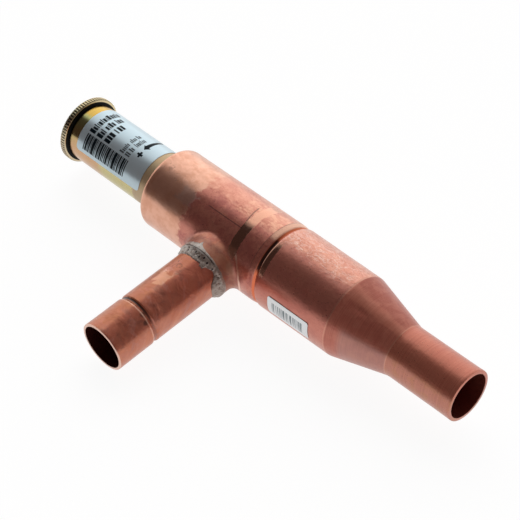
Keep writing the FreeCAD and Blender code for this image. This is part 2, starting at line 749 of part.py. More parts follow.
def small_label():
    """Small label on the copper body, on the side that faces the inlet."""
    start = GROOVE_STATION + SMALL_LABEL_FROM_GROOVE
    return wrapped_label(start, start + SMALL_LABEL_LENGTH, SMALL_LABEL_LOW,
                         SMALL_LABEL_HIGH, SMALL_LABEL_CORNER,
                         lambda station: wall_radius(-BODY_WALL, station))


def build():
    """All pieces of the valve by name."""
    body = valve_body()
    return {
        "valve_body": body,
        "inlet_tube": inlet_tube(),
        "inlet_braze": inlet_braze(body),
        "spring_housing": spring_housing(),
        "housing_braze": housing_braze(),
        "protective_cap": protective_cap(),
        "cap_gasket": cap_gasket(),
        "setting_screw": setting_screw(),
        "spring_plate": spring_plate(),
        "main_spring": main_spring(),
        "spring_foot": spring_foot(),
        "bellows": bellows(),
        "bellows_end_cap": bellows_end_cap(),
        "spindle": spindle(),
        "valve_seat": valve_seat(),
        "valve_plate": valve_plate(),
        "valve_nut": valve_nut(),
        "damper_piston": damper_piston(),
        "piston_ring": piston_ring(),
        "piston_clip": piston_clip(),
        "damper_cylinder": damper_cylinder(),
        "rating_label": rating_label(),
        "small_label": small_label(),
    }


os.makedirs("parts", exist_ok=True)
for name, shape in build().items():
    if len(shape.Solids) == 1:
        shape = shape.Solids[0]
    print(name, "solids:", len(shape.Solids), "volume:", round(shape.Volume, 1))
    shape.exportStep("parts/" + name + ".step")
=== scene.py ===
"""Hot gas bypass valve on a white table, photographed from above.

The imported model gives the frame. The copper body, the inlet tube, the braze, the cap, the gasket,
the main spring and the bellows are made here as finished pieces over their CAD solids. The labels,
the housing and the other pieces inside keep their solids and get a finish. Sizes are in
millimetres until a point is placed."""

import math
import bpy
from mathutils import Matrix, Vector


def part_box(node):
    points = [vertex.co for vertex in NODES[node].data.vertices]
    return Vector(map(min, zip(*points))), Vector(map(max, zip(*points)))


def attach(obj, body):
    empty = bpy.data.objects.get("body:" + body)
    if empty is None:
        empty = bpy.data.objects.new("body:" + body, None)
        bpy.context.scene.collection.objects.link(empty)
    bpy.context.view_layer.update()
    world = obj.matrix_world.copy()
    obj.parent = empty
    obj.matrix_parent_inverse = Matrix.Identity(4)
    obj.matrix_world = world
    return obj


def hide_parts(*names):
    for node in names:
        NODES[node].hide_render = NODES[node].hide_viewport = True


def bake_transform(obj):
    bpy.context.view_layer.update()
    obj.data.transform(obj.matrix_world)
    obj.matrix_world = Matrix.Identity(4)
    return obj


bl_info = {
    "name": "Hot gas bypass valve",
    "version": (1, 0, 0),
    "blender": (4, 5, 0),
    "location": "View3D > Sidebar > Valve",
    "description": "Finished pieces, finishes and stage of a hot gas bypass valve",
    "category": "Object",
}

import bmesh
import bpy
from mathutils import Matrix, Vector, noise

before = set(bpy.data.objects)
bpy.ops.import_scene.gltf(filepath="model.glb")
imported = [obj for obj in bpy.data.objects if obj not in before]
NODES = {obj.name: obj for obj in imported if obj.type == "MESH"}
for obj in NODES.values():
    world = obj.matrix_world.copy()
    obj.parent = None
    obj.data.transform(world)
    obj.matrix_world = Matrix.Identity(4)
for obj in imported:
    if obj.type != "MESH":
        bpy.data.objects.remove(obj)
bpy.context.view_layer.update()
MM = 0.001


def node_box(name):
    """Lowest and highest corner of a CAD node, in millimetres."""
    low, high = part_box(name)
    return low / MM, high / MM


# The two axes, and the sizes that the finished pieces take from the CAD solids
TUBE_LOW, TUBE_HIGH = node_box("inlet_tube")
BODY_LOW, BODY_HIGH = node_box("valve_body")
CAP_LOW, CAP_HIGH = node_box("protective_cap")
GASKET_LOW, GASKET_HIGH = node_box("cap_gasket")
SPRING_LOW, SPRING_HIGH = node_box("main_spring")
BELLOWS_LOW, BELLOWS_HIGH = node_box("bellows")
CROSSING = (TUBE_LOW.x + TUBE_HIGH.x) / 2      # x of the inlet's axis
OUTLET = BODY_HIGH.x - CROSSING                # station of the outlet's mouth
BODY_END = BODY_LOW.x - CROSSING               # station of the closed end
BODY_R = BODY_HIGH.z
TUBE_R = TUBE_HIGH.z
INLET = -TUBE_LOW.y                            # distance of the inlet's mouth


def main_point(station, radius, degrees):
    """A place about the main axis; 0 degrees faces the inlet and 90 is up."""
    a = math.radians(degrees)
    return Vector((CROSSING + station, -radius * math.cos(a), radius * math.sin(a))) * MM


def side_point(distance, radius, degrees):
    """A place about the inlet's axis; 0 degrees faces the outlet and 90 is up."""
    a = math.radians(degrees)
    return Vector((CROSSING + radius * math.cos(a), -distance, radius * math.sin(a))) * MM


# Outlines and meshes

def unit(a, b):
    """Unit direction from a to b."""
    length = math.hypot(b[0] - a[0], b[1] - a[1])
    return (b[0] - a[0]) / length, (b[1] - a[1]) / length


def inset(outline, distance):
    """A bent sheet's other face: (station, radius, bend) points moved to the right of travel."""
    lines = []
    for a, b in zip(outline, outline[1:]):
        ux, uy = unit(a, b)
        lines.append((a[0] + uy * distance, a[1] - ux * distance, ux, uy))
    moved = [(lines[0][0], lines[0][1], 0)]
    for one, two, corner in zip(lines, lines[1:], outline[1:]):
        cross = one[2] * two[3] - one[3] * two[2]
        gap = ((two[0] - one[0]) * two[3] - (two[1] - one[1]) * two[2]) / cross
        bend = corner[2] + distance if cross > 0 else max(corner[2] - distance, 0)
        moved.append((one[0] + one[2] * gap, one[1] + one[3] * gap, bend if corner[2] else 0))
    last, end = lines[-1], outline[-1]
    moved.append((end[0] + last[3] * distance, end[1] - last[2] * distance, 0))
    return moved


def rounded(outline, steps=5):
    """Plain (station, radius) points along an open outline, with its bends drawn as arcs."""
    points = []
    for i, (x, y, bend) in enumerate(outline):
        if not bend or i in (0, len(outline) - 1):
            points.append((x, y))
            continue
        ax, ay = unit((x, y), outline[i - 1])
        bx, by = unit((x, y), outline[i + 1])
        half = math.acos(max(-1, min(1, ax * bx + ay * by))) / 2
        run, reach = bend / math.tan(half), bend / math.sin(half)
        mx, my = unit((0, 0), (ax + bx, ay + by))
        cx, cy = x + mx * reach, y + my * reach
        start = math.atan2(y + ay * run - cy, x + ax * run - cx)
        turn = math.atan2(y + by * run - cy, x + bx * run - cx) - start
        turn = (turn + math.pi) % (2 * math.pi) - math.pi
        for k in range(steps + 1):
            a = start + turn * k / steps
            points.append((cx + bend * math.cos(a), cy + bend * math.sin(a)))
    return points


def divided(points, spacing, stops=()):
    """The same line with its long stretches cut to about the spacing, and at each stop."""
    line = [points[0]]
    for a, b in zip(points, points[1:]):
        cuts = [0, 1]
        for stop in stops:
            if abs(b[0] - a[0]) > 1e-6 and 1e-6 < (stop - a[0]) / (b[0] - a[0]) < 1 - 1e-6:
                cuts.append((stop - a[0]) / (b[0] - a[0]))
        cuts.sort()
        length = math.hypot(b[0] - a[0], b[1] - a[1])
        for low, high in zip(cuts, cuts[1:]):
            count = max(1, round(length * (high - low) / spacing))
            for k in range(1, count + 1):
                t = low + (high - low) * k / count
                line.append((a[0] + (b[0] - a[0]) * t, a[1] + (b[1] - a[1]) * t))
    return line


def make_piece(name, points, faces, body, replaced):
    """A mesh object that stands for CAD nodes and rides on a body, if one is given."""
    mesh = bpy.data.meshes.new(name)
    mesh.from_pydata(points, [], faces)
    mesh.validate()
    mesh.update()
    piece = bpy.data.objects.new(name, mesh)
    bpy.context.scene.collection.objects.link(piece)
    if body:
        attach(piece, body)
    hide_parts(*replaced)
    return piece


def joined(one, two):
    """Quads between two rings of point numbers of the same count."""
    count = len(one)
    return [(one[k], one[(k + 1) % count], two[(k + 1) % count], two[k]) for k in range(count)]


def ring_faces(first, second, count):
    """Quads between two rings of points that start at the given numbers."""
    return joined(range(first, first + count), range(second, second + count))


def rod_faces(rings, count):
    """Faces of rings of points that follow one another, with a flat face at each end."""
    faces = []
    for i in range(rings - 1):
        faces += ring_faces(i * count, (i + 1) * count, count)
    return faces + [tuple(range(count)), tuple(range((rings - 1) * count, rings * count))]


def lathe(skins, place, segments):
    """Points and faces of a closed profile turned about an axis.

    Each skin is a line of (station, radius) and a shift(station, degrees), which gives a small
    change of radius, or None."""
    points, faces = [], []
    for line, shift in skins:
        for station, radius in line:
            for k in range(segments):
                degrees = 360 * k / segments
                change = shift(station, degrees) if shift else 0
                points.append(place(station, radius + change, degrees))
    total = len(points) // segments
    for i in range(total):
        faces += ring_faces(i * segments, (i + 1) % total * segments, segments)
    return points, faces


# Shapes of the pieces

MOUTH_POINTS = 3                               # end of an outline that rounds a tube's mouth
TUBE_WALL = 1.2                                # sheet of the body
SOCKET_R = 7.975
CLOSED_END_HOLE = 10.65
NECK_OUT, NECK_IN, NECK_END = 10.22, 9.02, 19.6
NECK_BEND = 2.8
FOOT_ROWS, BEND_ROWS, NECK_ROWS = 4, 7, 4      # rows of faces from the body up the neck
GROOVE_AT = 19.2                               # stations of the groove, the cone and the socket
CONE_AT = 50.9
SOCKET_AT = 71.8
BODY_OUTLINE = [
    (BODY_END, CLOSED_END_HOLE, 0),
    (BODY_END, BODY_R, 1.6),
    (16.4, BODY_R, 0.6),
    (18.35, BODY_R - 0.28, 0.9),
    (GROOVE_AT, BODY_R - 1.15, 0.25),
    (20.1, BODY_R, 1.1),
    (CONE_AT, 14.8, 6.0),
    (SOCKET_AT, SOCKET_R + TUBE_WALL, 9.0),
    (OUTLET - 0.35, SOCKET_R + TUBE_WALL, 0),
    (OUTLET - 0.1, SOCKET_R + TUBE_WALL - 0.08, 0),
    (OUTLET, SOCKET_R + TUBE_WALL - 0.3, 0),
]
WINDOW = 15.5                                  # half the length cut out for the neck
SEGMENTS = 160
WINDOW_STEPS = 24                              # segments cut out each way
WINDOW_SIDE = WINDOW_STEPS * 360 / SEGMENTS    # the same in degrees
SHARP_EDGE = math.radians(35)
DENTS = [                                      # station, degrees, length, width, depth
    (57.6, 69.0, 2.6, 5.0, 0.34),
    (61.5, 52.0, 5.0, 16.0, 0.10),
    (27.0, 96.0, 4.0, 9.0, 0.10),
    (33.5, 88.0, 3.0, 7.0, 0.08),
    (43.0, 100.0, 6.0, 14.0, 0.09),
    (-24.0, 70.0, 7.0, 16.0, 0.09),
    (-8.0, 104.0, 5.0, 12.0, 0.08),
    (84.0, 60.0, 9.0, 30.0, 0.06),
]


def handling(station, radius, degrees, scale):
    """Shallow dents and unevenness of the drawn copper, always inwards; 1 is the full depth."""
    depth = 0
    for place, angle, length, width, deep in DENTS:
        across = (degrees - angle + 180) % 360 - 180
        depth += deep * math.exp(-((station - place) / length) ** 2 - (across / width) ** 2)
    a = math.radians(degrees)
    spot = Vector((station * 0.075, radius * math.cos(a) * 0.11, radius * math.sin(a) * 0.11))
    depth += 0.035 * (1 + noise.noise(spot))
    spot *= 3.1
    depth += 0.016 * (1 + noise.noise(spot))
    ends = min(1, (station - BODY_END) / 3, (OUTLET - station) / 3)
    return -depth * scale * max(ends, 0)


def window_edge(stations):
    """Ring and segment numbers round the window, once round from the outlet's side."""
    count = len(stations)
    edge = [(count - 1, k) for k in range(-WINDOW_STEPS, WINDOW_STEPS)]
    edge += [(i, WINDOW_STEPS) for i in range(count - 1, 0, -1)]
    edge += [(0, k) for k in range(WINDOW_STEPS, -WINDOW_STEPS, -1)]
    edge += [(i, -WINDOW_STEPS) for i in range(count - 1)]
    return edge


def neck_skin(points, faces, grid, stations, skin_radius, neck_radius, outward):
    """Fills a window in one skin with the rounded neck, and returns the neck's last ring."""
    ball_way = BODY_R + NECK_BEND
    ball_side = NECK_OUT + NECK_BEND
    arc = math.asin(ball_side / ball_way)
    step = 360 / SEGMENTS
    edge = window_edge(stations)
    ring_before = [grid[i][k % SEGMENTS] for i, k in edge]
    turns, homes = [], []
    for i, k in edge:
        turns.append(math.atan2(math.radians(k * step) / arc, stations[i] / ball_side))
        homes.append((stations[i], k * step))
    rows = []
    for n in range(1, FOOT_ROWS + 1):
        t = n / FOOT_ROWS
        row = []
        for turn, (station, degrees) in zip(turns, homes):
            foot_x = ball_side * math.cos(turn)
            foot_a = math.degrees(math.asin(ball_side * math.sin(turn) / ball_way))
            row.append(main_point(station + (foot_x - station) * t, skin_radius,
                                  degrees + (foot_a - degrees) * t) / MM)
        rows.append(row)
    lasts = []
    for turn in turns:
        x, z = ball_side * math.cos(turn), ball_side * math.sin(turn)
        y = -math.sqrt(ball_way ** 2 - z * z)
        lasts.append((Vector((CROSSING + x, y, z)),
                      Vector((CROSSING + neck_radius * math.cos(turn), y,
                              neck_radius * math.sin(turn)))))
    feet = rows[-1]
    for n in range(1, BEND_ROWS + 1):
        row = []
        for foot, (ball, on_neck) in zip(feet, lasts):
            a, b = foot - ball, on_neck - ball
            whole = a.angle(b)
            part = whole * n / BEND_ROWS
            row.append(ball + (a * math.sin(whole - part) + b * math.sin(part)) / math.sin(whole))
        rows.append(row)
    for n in range(1, NECK_ROWS + 1):
        row = []
        for _, on_neck in lasts:
            y = on_neck.y + (-(NECK_END - outward * 0.12) - on_neck.y) * n / NECK_ROWS
            row.append(Vector((on_neck.x, y, on_neck.z)))
        rows.append(row)
    for row in rows:
        start = len(points)
        points += [point * MM for point in row]
        ring = list(range(start, len(points)))
        faces += joined(ring_before, ring)
        ring_before = ring
    return ring_before


def body_mesh(dents):
    """Points and faces of the copper body: two lathed skins with the neck pulled out."""
    outer = divided(rounded(BODY_OUTLINE, 6), 0.75, (-WINDOW, WINDOW))
    plain_end = BODY_OUTLINE[:-MOUTH_POINTS] + [(OUTLET, SOCKET_R + TUBE_WALL, 0)]
    inner = divided(rounded(inset(plain_end, TUBE_WALL), 6), 1.5, (-WINDOW, WINDOW))
    points, faces, rings = [], [], []
    for skin, shift in ((outer, handling), (inner[::-1], None)):
        for station, radius in skin:
            ring = []
            for k in range(SEGMENTS):
                degrees = 360 * k / SEGMENTS
                calm = window_calm(station, degrees)
                change = shift(station, radius, degrees, dents) * calm if shift else 0
                ring.append(len(points))
                points.append(main_point(station, radius + change, degrees))
            rings.append((station, ring))
    open_steps = set(k % SEGMENTS for k in range(-WINDOW_STEPS, WINDOW_STEPS))
    for i, (station, ring) in enumerate(rings):
        following_station, following = rings[(i + 1) % len(rings)]
        inside = max(abs(station), abs(following_station)) <= WINDOW + 1e-6
        for k in range(SEGMENTS):
            if inside and k in open_steps:
                continue
            after = (k + 1) % SEGMENTS
            faces.append((ring[k], ring[after], following[after], following[k]))
    split = len(outer)
    lasts = []
    for skin, radius, neck, outward in ((rings[:split], BODY_R, NECK_OUT, 1),
                                        (rings[split:][::-1], BODY_R - TUBE_WALL, NECK_IN, 0)):
        kept = [pair for pair in skin if abs(pair[0]) <= WINDOW + 1e-6]
        lasts.append(neck_skin(points, faces, [ring for _, ring in kept],
                               [station for station, _ in kept], radius, neck, outward))
    join_loops(points, faces, lasts[0], lasts[1])
    return points, faces


def window_calm(station, degrees):
    """0 where the neck is joined and 1 well away from it, so the skins meet."""
    across = abs((degrees + 180) % 360 - 180)
    return min(1, max(0, (abs(station) - WINDOW) / 6, (across - WINDOW_SIDE) / 22))


def join_loops(points, faces, outer, inner):
    """Closes two loops of different counts that go round the inlet's axis, through a lip."""
    def turn(number):
        point = points[number] / MM
        return math.atan2(point.z, point.x - CROSSING) % (2 * math.pi)

    lip = []
    for number in outer:
        a = turn(number)
        lip.append(len(points))
        points.append(side_point(NECK_END, NECK_OUT - 0.15, math.degrees(a)))
    faces += joined(outer, lip)
    loops = sorted(lip, key=turn), sorted(inner, key=turn)
    turns = [[turn(number) for number in loop] for loop in loops]
    for angles in turns:
        angles += [angles[0] + 2 * math.pi, math.inf]
    at = [0, 0]
    while at[0] < len(loops[0]) or at[1] < len(loops[1]):
        now = [loop[i % len(loop)] for loop, i in zip(loops, at)]
        side = 0 if turns[0][at[0] + 1] <= turns[1][at[1] + 1] else 1
        at[side] += 1
        following = loops[side][at[side] % len(loops[side])]
        faces.append((now[0], following, now[1]))


def closed_up(piece):
    """Drops the points that no face uses and turns all faces outwards."""
    work = bmesh.new()
    work.from_mesh(piece.data)
    bmesh.ops.delete(work, geom=[v for v in work.verts if not v.link_faces], context="VERTS")
    bmesh.ops.recalc_face_normals(work, faces=work.faces)
    open_edges = sum(1 for edge in work.edges if len(edge.link_faces) != 2)
    work.to_mesh(piece.data)
    work.free()
    piece.data.shade_smooth()
    piece.data.set_sharp_from_angle(angle=SHARP_EDGE)
    if open_edges:
        print(piece.name, "open edges:", open_edges)


STOP_AT = INLET - 15.4                         # distance of the tube's rolled stop
TUBE_START = 16.5
INLET_WALL = 0.925
TUBE_OUTLINE = [
    (TUBE_START, TUBE_R, 0),
    (STOP_AT - 0.9, TUBE_R, 0.4),
    (STOP_AT - 0.35, TUBE_R - 0.65, 0.25),
    (STOP_AT + 0.3, TUBE_R - 0.65, 0.25),
    (STOP_AT + 1.2, TUBE_R, 0.6),
    (INLET - 0.3, TUBE_R, 0),
    (INLET - 0.08, TUBE_R - 0.06, 0),
    (INLET, TUBE_R - 0.25, 0),
]


def tube_wear(station, degrees):
    """Slight unevenness of the drawn tube, inwards."""
    a = math.radians(degrees)
    spot = Vector((station * 0.09, math.cos(a) * 1.1, math.sin(a) * 1.1))
    ends = max(min(1, (INLET - station) / 3, (station - TUBE_START) / 3), 0)
    return -0.035 * (1 + noise.noise(spot)) * ends


def tube_mesh():
    """Points and faces of the inlet tube with its rolled stop."""
    bore = inset(TUBE_OUTLINE[:-MOUTH_POINTS] + [(INLET, TUBE_R, 0)], INLET_WALL)
    outer = divided(rounded(TUBE_OUTLINE, 4), 0.8)
    inner = divided(rounded(bore, 4), 1.6)
    return lathe([(outer, tube_wear), (inner[::-1], None)], side_point, 144)


BRAZE_EDGES = [                                # degrees, edge on the neck, edge on the tube
    (-180, 18.0, 21.6), (-150, 17.8, 22.1), (-125, 18.2, 21.5), (-95, 18.0, 22.2),
    (-72, 18.3, 21.7), (-52, 18.2, 21.2), (-36, 18.4, 21.5), (-26, 18.4, 22.8), (-8, 18.3, 23.3),
    (6, 18.3, 23.4), (16, 18.5, 22.9), (23, 18.5, 21.9), (30, 18.5, 20.7), (40, 18.5, 20.4),
    (50, 18.5, 21.2), (56, 18.4, 21.7), (57.5, 18.4, 22.9), (67.5, 18.3, 22.9), (69, 18.3, 22.3),
    (80, 18.1, 22.5), (90, 17.5, 22.6), (95, 16.9, 22.5), (98.5, 15.9, 22.4), (102, 17.0, 22.5),
    (114, 17.3, 22.3), (128, 17.4, 22.5), (142, 17.6, 22.2), (160, 17.9, 21.9), (180, 18.0, 21.6),
]
BRAZE_LUMPS = [                                # distance, degrees, size, rise
    (21.4, 150, 1.2, 0.22), (21.9, 63, 0.9, 0.20), (22.0, 8, 1.6, 0.22), (21.6, -16, 1.6, 0.30),
    (20.6, -60, 1.4, 0.25), (20.8, -130, 1.5, 0.25), (21.2, 96, 1.1, 0.15), (20.6, 44, 0.8, 0.2),
    (21.3, 118, 1.0, 0.16), (20.9, 80, 0.8, 0.14), (21.2, -95, 1.2, 0.2), (20.6, 172, 1.2, 0.2),
]
BRAZE_PITS = [                                 # distance, degrees, size, depth
    (19.5, 41, 0.36, 0.5), (18.9, 31, 0.34, 0.4), (19.9, 25, 0.36, 0.5), (20.3, 12, 0.4, 0.4),
    (20.0, 113, 0.42, 0.45), (22.3, 61, 0.34, 0.4), (19.4, 52, 0.32, 0.4), (20.4, 2, 0.3, 0.3),
    (21.0, 88, 0.3, 0.3), (20.3, 128, 0.34, 0.3), (19.6, -10, 0.4, 0.35), (20.6, -40, 0.4, 0.3),
]


def braze_edge(degrees, place):
    """One edge of the braze at an angle, straight between the listed ones."""
    for low, high in zip(BRAZE_EDGES, BRAZE_EDGES[1:]):
        if low[0] <= degrees <= high[0]:
            t = (degrees - low[0]) / (high[0] - low[0])
            return low[place] + (high[place] - low[place]) * t
    return BRAZE_EDGES[0][place]


def gap_to(distance, degrees, spot):
    """Distance from a lump or pit, in its own size."""
    across = math.radians((degrees - spot[1] + 180) % 360 - 180) * TUBE_R
    return math.hypot(distance - spot[0], across) / spot[2]


def braze_top(distance, degrees, start, end):
    """Radius of the braze's skin: a film on the neck, a crease, and a low fillet on the tube."""
    a = math.radians(degrees)
    spot = Vector((distance * 0.8, math.cos(a) * 9, math.sin(a) * 9))
    rough = noise.noise(spot) + 0.5 * noise.noise(spot * 2.6)
    inward = min(1, (distance - start) / 0.3, (end - distance) / 0.3)
    lip = math.sin(max(inward, 0) * math.pi / 2)
    if distance < NECK_END:
        top = NECK_OUT + 0.02 + (0.09 + 0.05 * rough) * lip
        crease = math.exp(-((distance - 19.25) / 0.22) ** 2)
        top -= 0.1 * crease * max(0, 1 - ((degrees - 92) / 50) ** 2)
    else:
        along = (distance - NECK_END) / (end - NECK_END)
        film = 0.03 + (0.26 + 0.09 * rough) * lip
        top = TUBE_R + film + (NECK_OUT - TUBE_R - 0.2) * (1 - along) ** 1.8
    for lump in BRAZE_LUMPS:
        gap = gap_to(distance, degrees, lump)
        if gap < 1:
            top += lump[3] * (1 - gap * gap) ** 1.5 * lip
    for pit in BRAZE_PITS:
        top -= pit[3] * math.exp(-(gap_to(distance, degrees, pit) * 1.3) ** 2)
    under = NECK_OUT if distance < NECK_END else TUBE_R
    return max(top, under + 0.015)


def braze_mesh():
    """Points and faces of the braze bead, with its pits, its drip and its ragged edge."""
    segments, across = 300, 34
    points, faces = [], []
    for k in range(segments):
        degrees = 360 * k / segments - 180
        a = math.radians(degrees)
        x, z = math.cos(a), math.sin(a)
        start = braze_edge(degrees, 1) + 0.18 * noise.noise(Vector((x, z, 1)) * 9)
        end = braze_edge(degrees, 2) + 0.16 * noise.noise(Vector((x, z, 5)) * 8)
        for n in range(across + 1):
            distance = start + (end - start) * n / across
            points.append(side_point(distance, braze_top(distance, degrees, start, end), degrees))
        for distance, radius in ((end, TUBE_R), (NECK_END + 0.02, TUBE_R),
                                 (NECK_END + 0.02, NECK_OUT), (start, NECK_OUT)):
            points.append(side_point(distance, radius - 0.04, degrees))
    row = len(points) // segments
    for k in range(segments):
        faces += ring_faces(k * row, (k + 1) % segments * row, row)
    return points, faces


CAP_R = CAP_HIGH.z
SPIGOT_R = 8.93
PIN_R = 0.4                                    # the first ring round the middle of a flat face
TOOTH_POINTS = 8                               # points round each tooth


def flange_mesh(teeth, tooth):
    """Points and faces of the cap's knurled flange."""
    face = CAP_LOW.x - CROSSING
    back = GASKET_LOW.x - CROSSING
    segments = teeth * TOOTH_POINTS
    low = CAP_R - tooth
    profile = [(face + 0.5, PIN_R, 0), (face + 0.5, 7.35, 0), (face + 0.38, 7.6, 0),
               (face, 8.0, 0), (face, low - 0.45, 0), (face + 0.1, low - 0.18, 0),
               (face + 0.36, low, 0), (face + 0.44, low, 0.6), (face + 0.6, low, 1),
               (face + 1.3, low, 1), (back - 0.26, low, 1), (back - 0.16, low, 0.75),
               (back - 0.12, low + 0.14, 0), (back - 0.04, low + 0.06, 0),
               (back, low - 0.08, 0), (back, SPIGOT_R - 0.4, 0),
               (back - 0.6, SPIGOT_R - 1.0, 0), (back - 0.6, PIN_R, 0)]
    points = []
    for station, radius, knurled in profile:
        for k in range(segments):
            from_gap = abs(k % TOOTH_POINTS / TOOTH_POINTS - 0.5) * 2
            rise = tooth * knurled * min(1, from_gap / 0.55)
            points.append(main_point(station, radius + rise, 360 * k / segments))
    return points, rod_faces(len(profile), segments)


def spigot_mesh():
    """Points and faces of the cap's spigot, with a winding ridge; no radius means the ridge."""
    start, end = GASKET_LOW.x - CROSSING, CAP_HIGH.x - CROSSING
    segments, rows = 96, 48
    outline = [(start - 0.5, PIN_R), (start - 0.5, SPIGOT_R - 0.55),
               (start + 0.5, SPIGOT_R - 0.55)]
    outline += [(start + 0.5 + (end - 0.9 - start) * n / rows, None) for n in range(rows + 1)]
    outline += [(end, SPIGOT_R - 0.6), (end, 6.0), (end - 7.2, 6.0)]
    points = []
    for station, radius in outline:
        station = min(station, end)
        for k in range(segments):
            here = radius
            if radius is None:
                phase = (station - k / segments) % 1
                here = SPIGOT_R - 0.5 * min(1, abs(phase - 0.5) * 2.4)
            points.append(main_point(station, here, 360 * k / segments))
    return points, rod_faces(len(outline), segments)


def gasket_mesh():
    """Points and faces of the squeezed gasket."""
    start, end = GASKET_LOW.x - CROSSING, GASKET_HIGH.x - CROSSING
    r_in, r_out = 9.08, GASKET_HIGH.z
    profile = [(start, r_in), (end, r_in), (end, r_out - 0.14), (end - 0.04, r_out - 0.04),
               (end - 0.14, r_out), (start + 0.14, r_out), (start + 0.04, r_out - 0.04),
               (start, r_out - 0.14)]
    return lathe([(profile, None)], main_point, 128)


WIRE_R = 1.1
WIRE_SIDES = 12
WIRE_STEPS = 40                                # rings of points in each turn
CLOSED_PITCH = 2.3
SPRING_SPLIT = 0.69                            # share of the length that the screw compresses


def spring_mesh(turns, start, end):
    """Points and faces of part of the spring's round wire, between two shares of its length."""
    low, high = SPRING_LOW.x - CROSSING, SPRING_HIGH.x - CROSSING
    coil_r = SPRING_HIGH.z - WIRE_R
    rise = high - low - WIRE_R
    open_pitch = (rise - 2 * CLOSED_PITCH) / (turns - 2)
    points = []
    for k in range(round(turns * WIRE_STEPS) + 1):
        turn = k / WIRE_STEPS
        middle = min(max(turn - 1, 0), turns - 2)
        reach = (turn - middle) * CLOSED_PITCH + middle * open_pitch
        if not start - 0.004 <= reach / rise <= end:
            continue
        for j in range(WIRE_SIDES):
            a = 2 * math.pi * j / WIRE_SIDES
            station = low + WIRE_R / 2 + reach + WIRE_R * math.sin(a)
            points.append(main_point(min(max(station, low), high),
                                     coil_r + WIRE_R * math.cos(a), 180 - 360 * turn))
    return points, rod_faces(len(points) // WIRE_SIDES, WIRE_SIDES)


BELLOWS_CUFF = 1.9
BELLOWS_CUFF_R = 8.55
BELLOWS_SHEET = 0.25


def bellows_mesh(folds):
    """Points and faces of the bellows, with its folds rounded."""
    low, high = BELLOWS_LOW.x - CROSSING, BELLOWS_HIGH.x - CROSSING
    fold = (high - low - 2 * BELLOWS_CUFF) / folds
    outline = [(low, BELLOWS_CUFF_R, 0)]
    for k in range(folds):
        root = low + BELLOWS_CUFF + k * fold
        outline.append((root, BELLOWS_CUFF_R, 0.3))
        outline.append((root + fold / 2, BELLOWS_HIGH.z, 0.35))
    outline.append((high - BELLOWS_CUFF, BELLOWS_CUFF_R, 0.3))
    outline.append((high, BELLOWS_CUFF_R, 0))
    inner = inset(outline, BELLOWS_SHEET)
    return lathe([(rounded(outline, 4) + rounded(inner, 4)[::-1], None)], main_point, 72)


# Finishes

class Nodes:
    """Short calls that add nodes to a tree and join them."""

    def __init__(self, tree):
        self.tree = tree

    def plug(self, socket, value):
        """Joins another node's output to a socket, or sets the socket's own value."""
        if isinstance(value, bpy.types.NodeSocket):
            self.tree.links.new(value, socket)
        elif value is not None:
            if isinstance(value, tuple) and len(value) == 3 and socket.type == "RGBA":
                value = (*value, 1)
            socket.default_value = value

    def add(self, kind, inputs=(), **settings):
        """A new node with its inputs filled by place, and its settings by name."""
        node = self.tree.nodes.new("ShaderNode" + kind)
        for name, value in settings.items():
            setattr(node, name, value)
        for place, value in (inputs.items() if isinstance(inputs, dict) else enumerate(inputs)):
            self.plug(node.inputs[place], value)
        return node

    def math(self, operation, *values):
        return self.add("Math", values, operation=operation).outputs[0]

    def in_turn(self, operation, result, *others):
        """The operation on the first two values, then on the result and each further value."""
        for value in others:
            result = self.math(operation, result, value)
        return result

    def times(self, *values):
        return self.in_turn("MULTIPLY", *values)

    def plus(self, *values):
        return self.in_turn("ADD", *values)

    def most(self, *values):
        return self.in_turn("MAXIMUM", *values)

    def step(self, value, low, high, start=0.0, end=1.0):
        """start below low and end above high, smooth between."""
        node = self.add("MapRange", {0: value, 1: low, 2: high, 3: start, 4: end},
                        interpolation_type="SMOOTHSTEP")
        return node.outputs[0]

    def line(self, value, low, high, start=0.0, end=1.0):
        """start at low and end at high, straight between, level outside."""
        return self.add("MapRange", {0: value, 1: low, 2: high, 3: start, 4: end}).outputs[0]

    def between(self, mask, start, end):
        """start where the mask is 0 and end where it is 1."""
        return self.line(mask, 0.0, 1.0, start, end)

    def band(self, value, low, high, soft):
        """1 between low and high, fading over the soft width outside them."""
        return self.times(self.step(value, low - soft, low),
                          self.step(value, high, high + soft, 1.0, 0.0))

    def noise(self, vector, scale, detail=3.0, roughness=0.5, distortion=0.0):
        node = self.add("TexNoise", {"Vector": vector, "Scale": scale, "Detail": detail,
                                     "Roughness": roughness, "Distortion": distortion})
        return node.outputs["Fac"]

    def mix(self, factor, a, b):
        """Colour a turned into colour b by the factor."""
        node = self.add("Mix", {0: factor, 6: a, 7: b}, data_type="RGBA", clamp_factor=True)
        return node.outputs[2]

    def layers(self, base, *coats):
        """The base colour under coats of (mask, strength, colour), laid on in order."""
        for mask, strength, colour in coats:
            factor = mask if strength == 1 else self.times(mask, strength)
            base = self.mix(factor, base, colour)
        return base

    def marks(self, value, low, high, edges):
        """1 between the first and second edge, 0 to the third, and so on."""
        node = self.add("ValToRGB", (self.line(value, low, high),))
        ramp = node.color_ramp
        ramp.interpolation = "CONSTANT"
        while len(ramp.elements) < len(edges) + 1:
            ramp.elements.new(1)
        ramp.elements[0].position = 0
        ramp.elements[0].color = (0, 0, 0, 1)
        for count, edge in enumerate(edges):
            mark = ramp.elements[count + 1]
            mark.position = (edge - low) / (high - low)
            mark.color = (0, 0, 0, 1) if count % 2 else (1, 1, 1, 1)
        return node.outputs[0]

    def combine(self, x, y, z=0.0):
        return self.add("CombineXYZ", (x, y, z)).outputs[0]

    def parts(self, vector):
        return self.add("SeparateXYZ", (vector,)).outputs


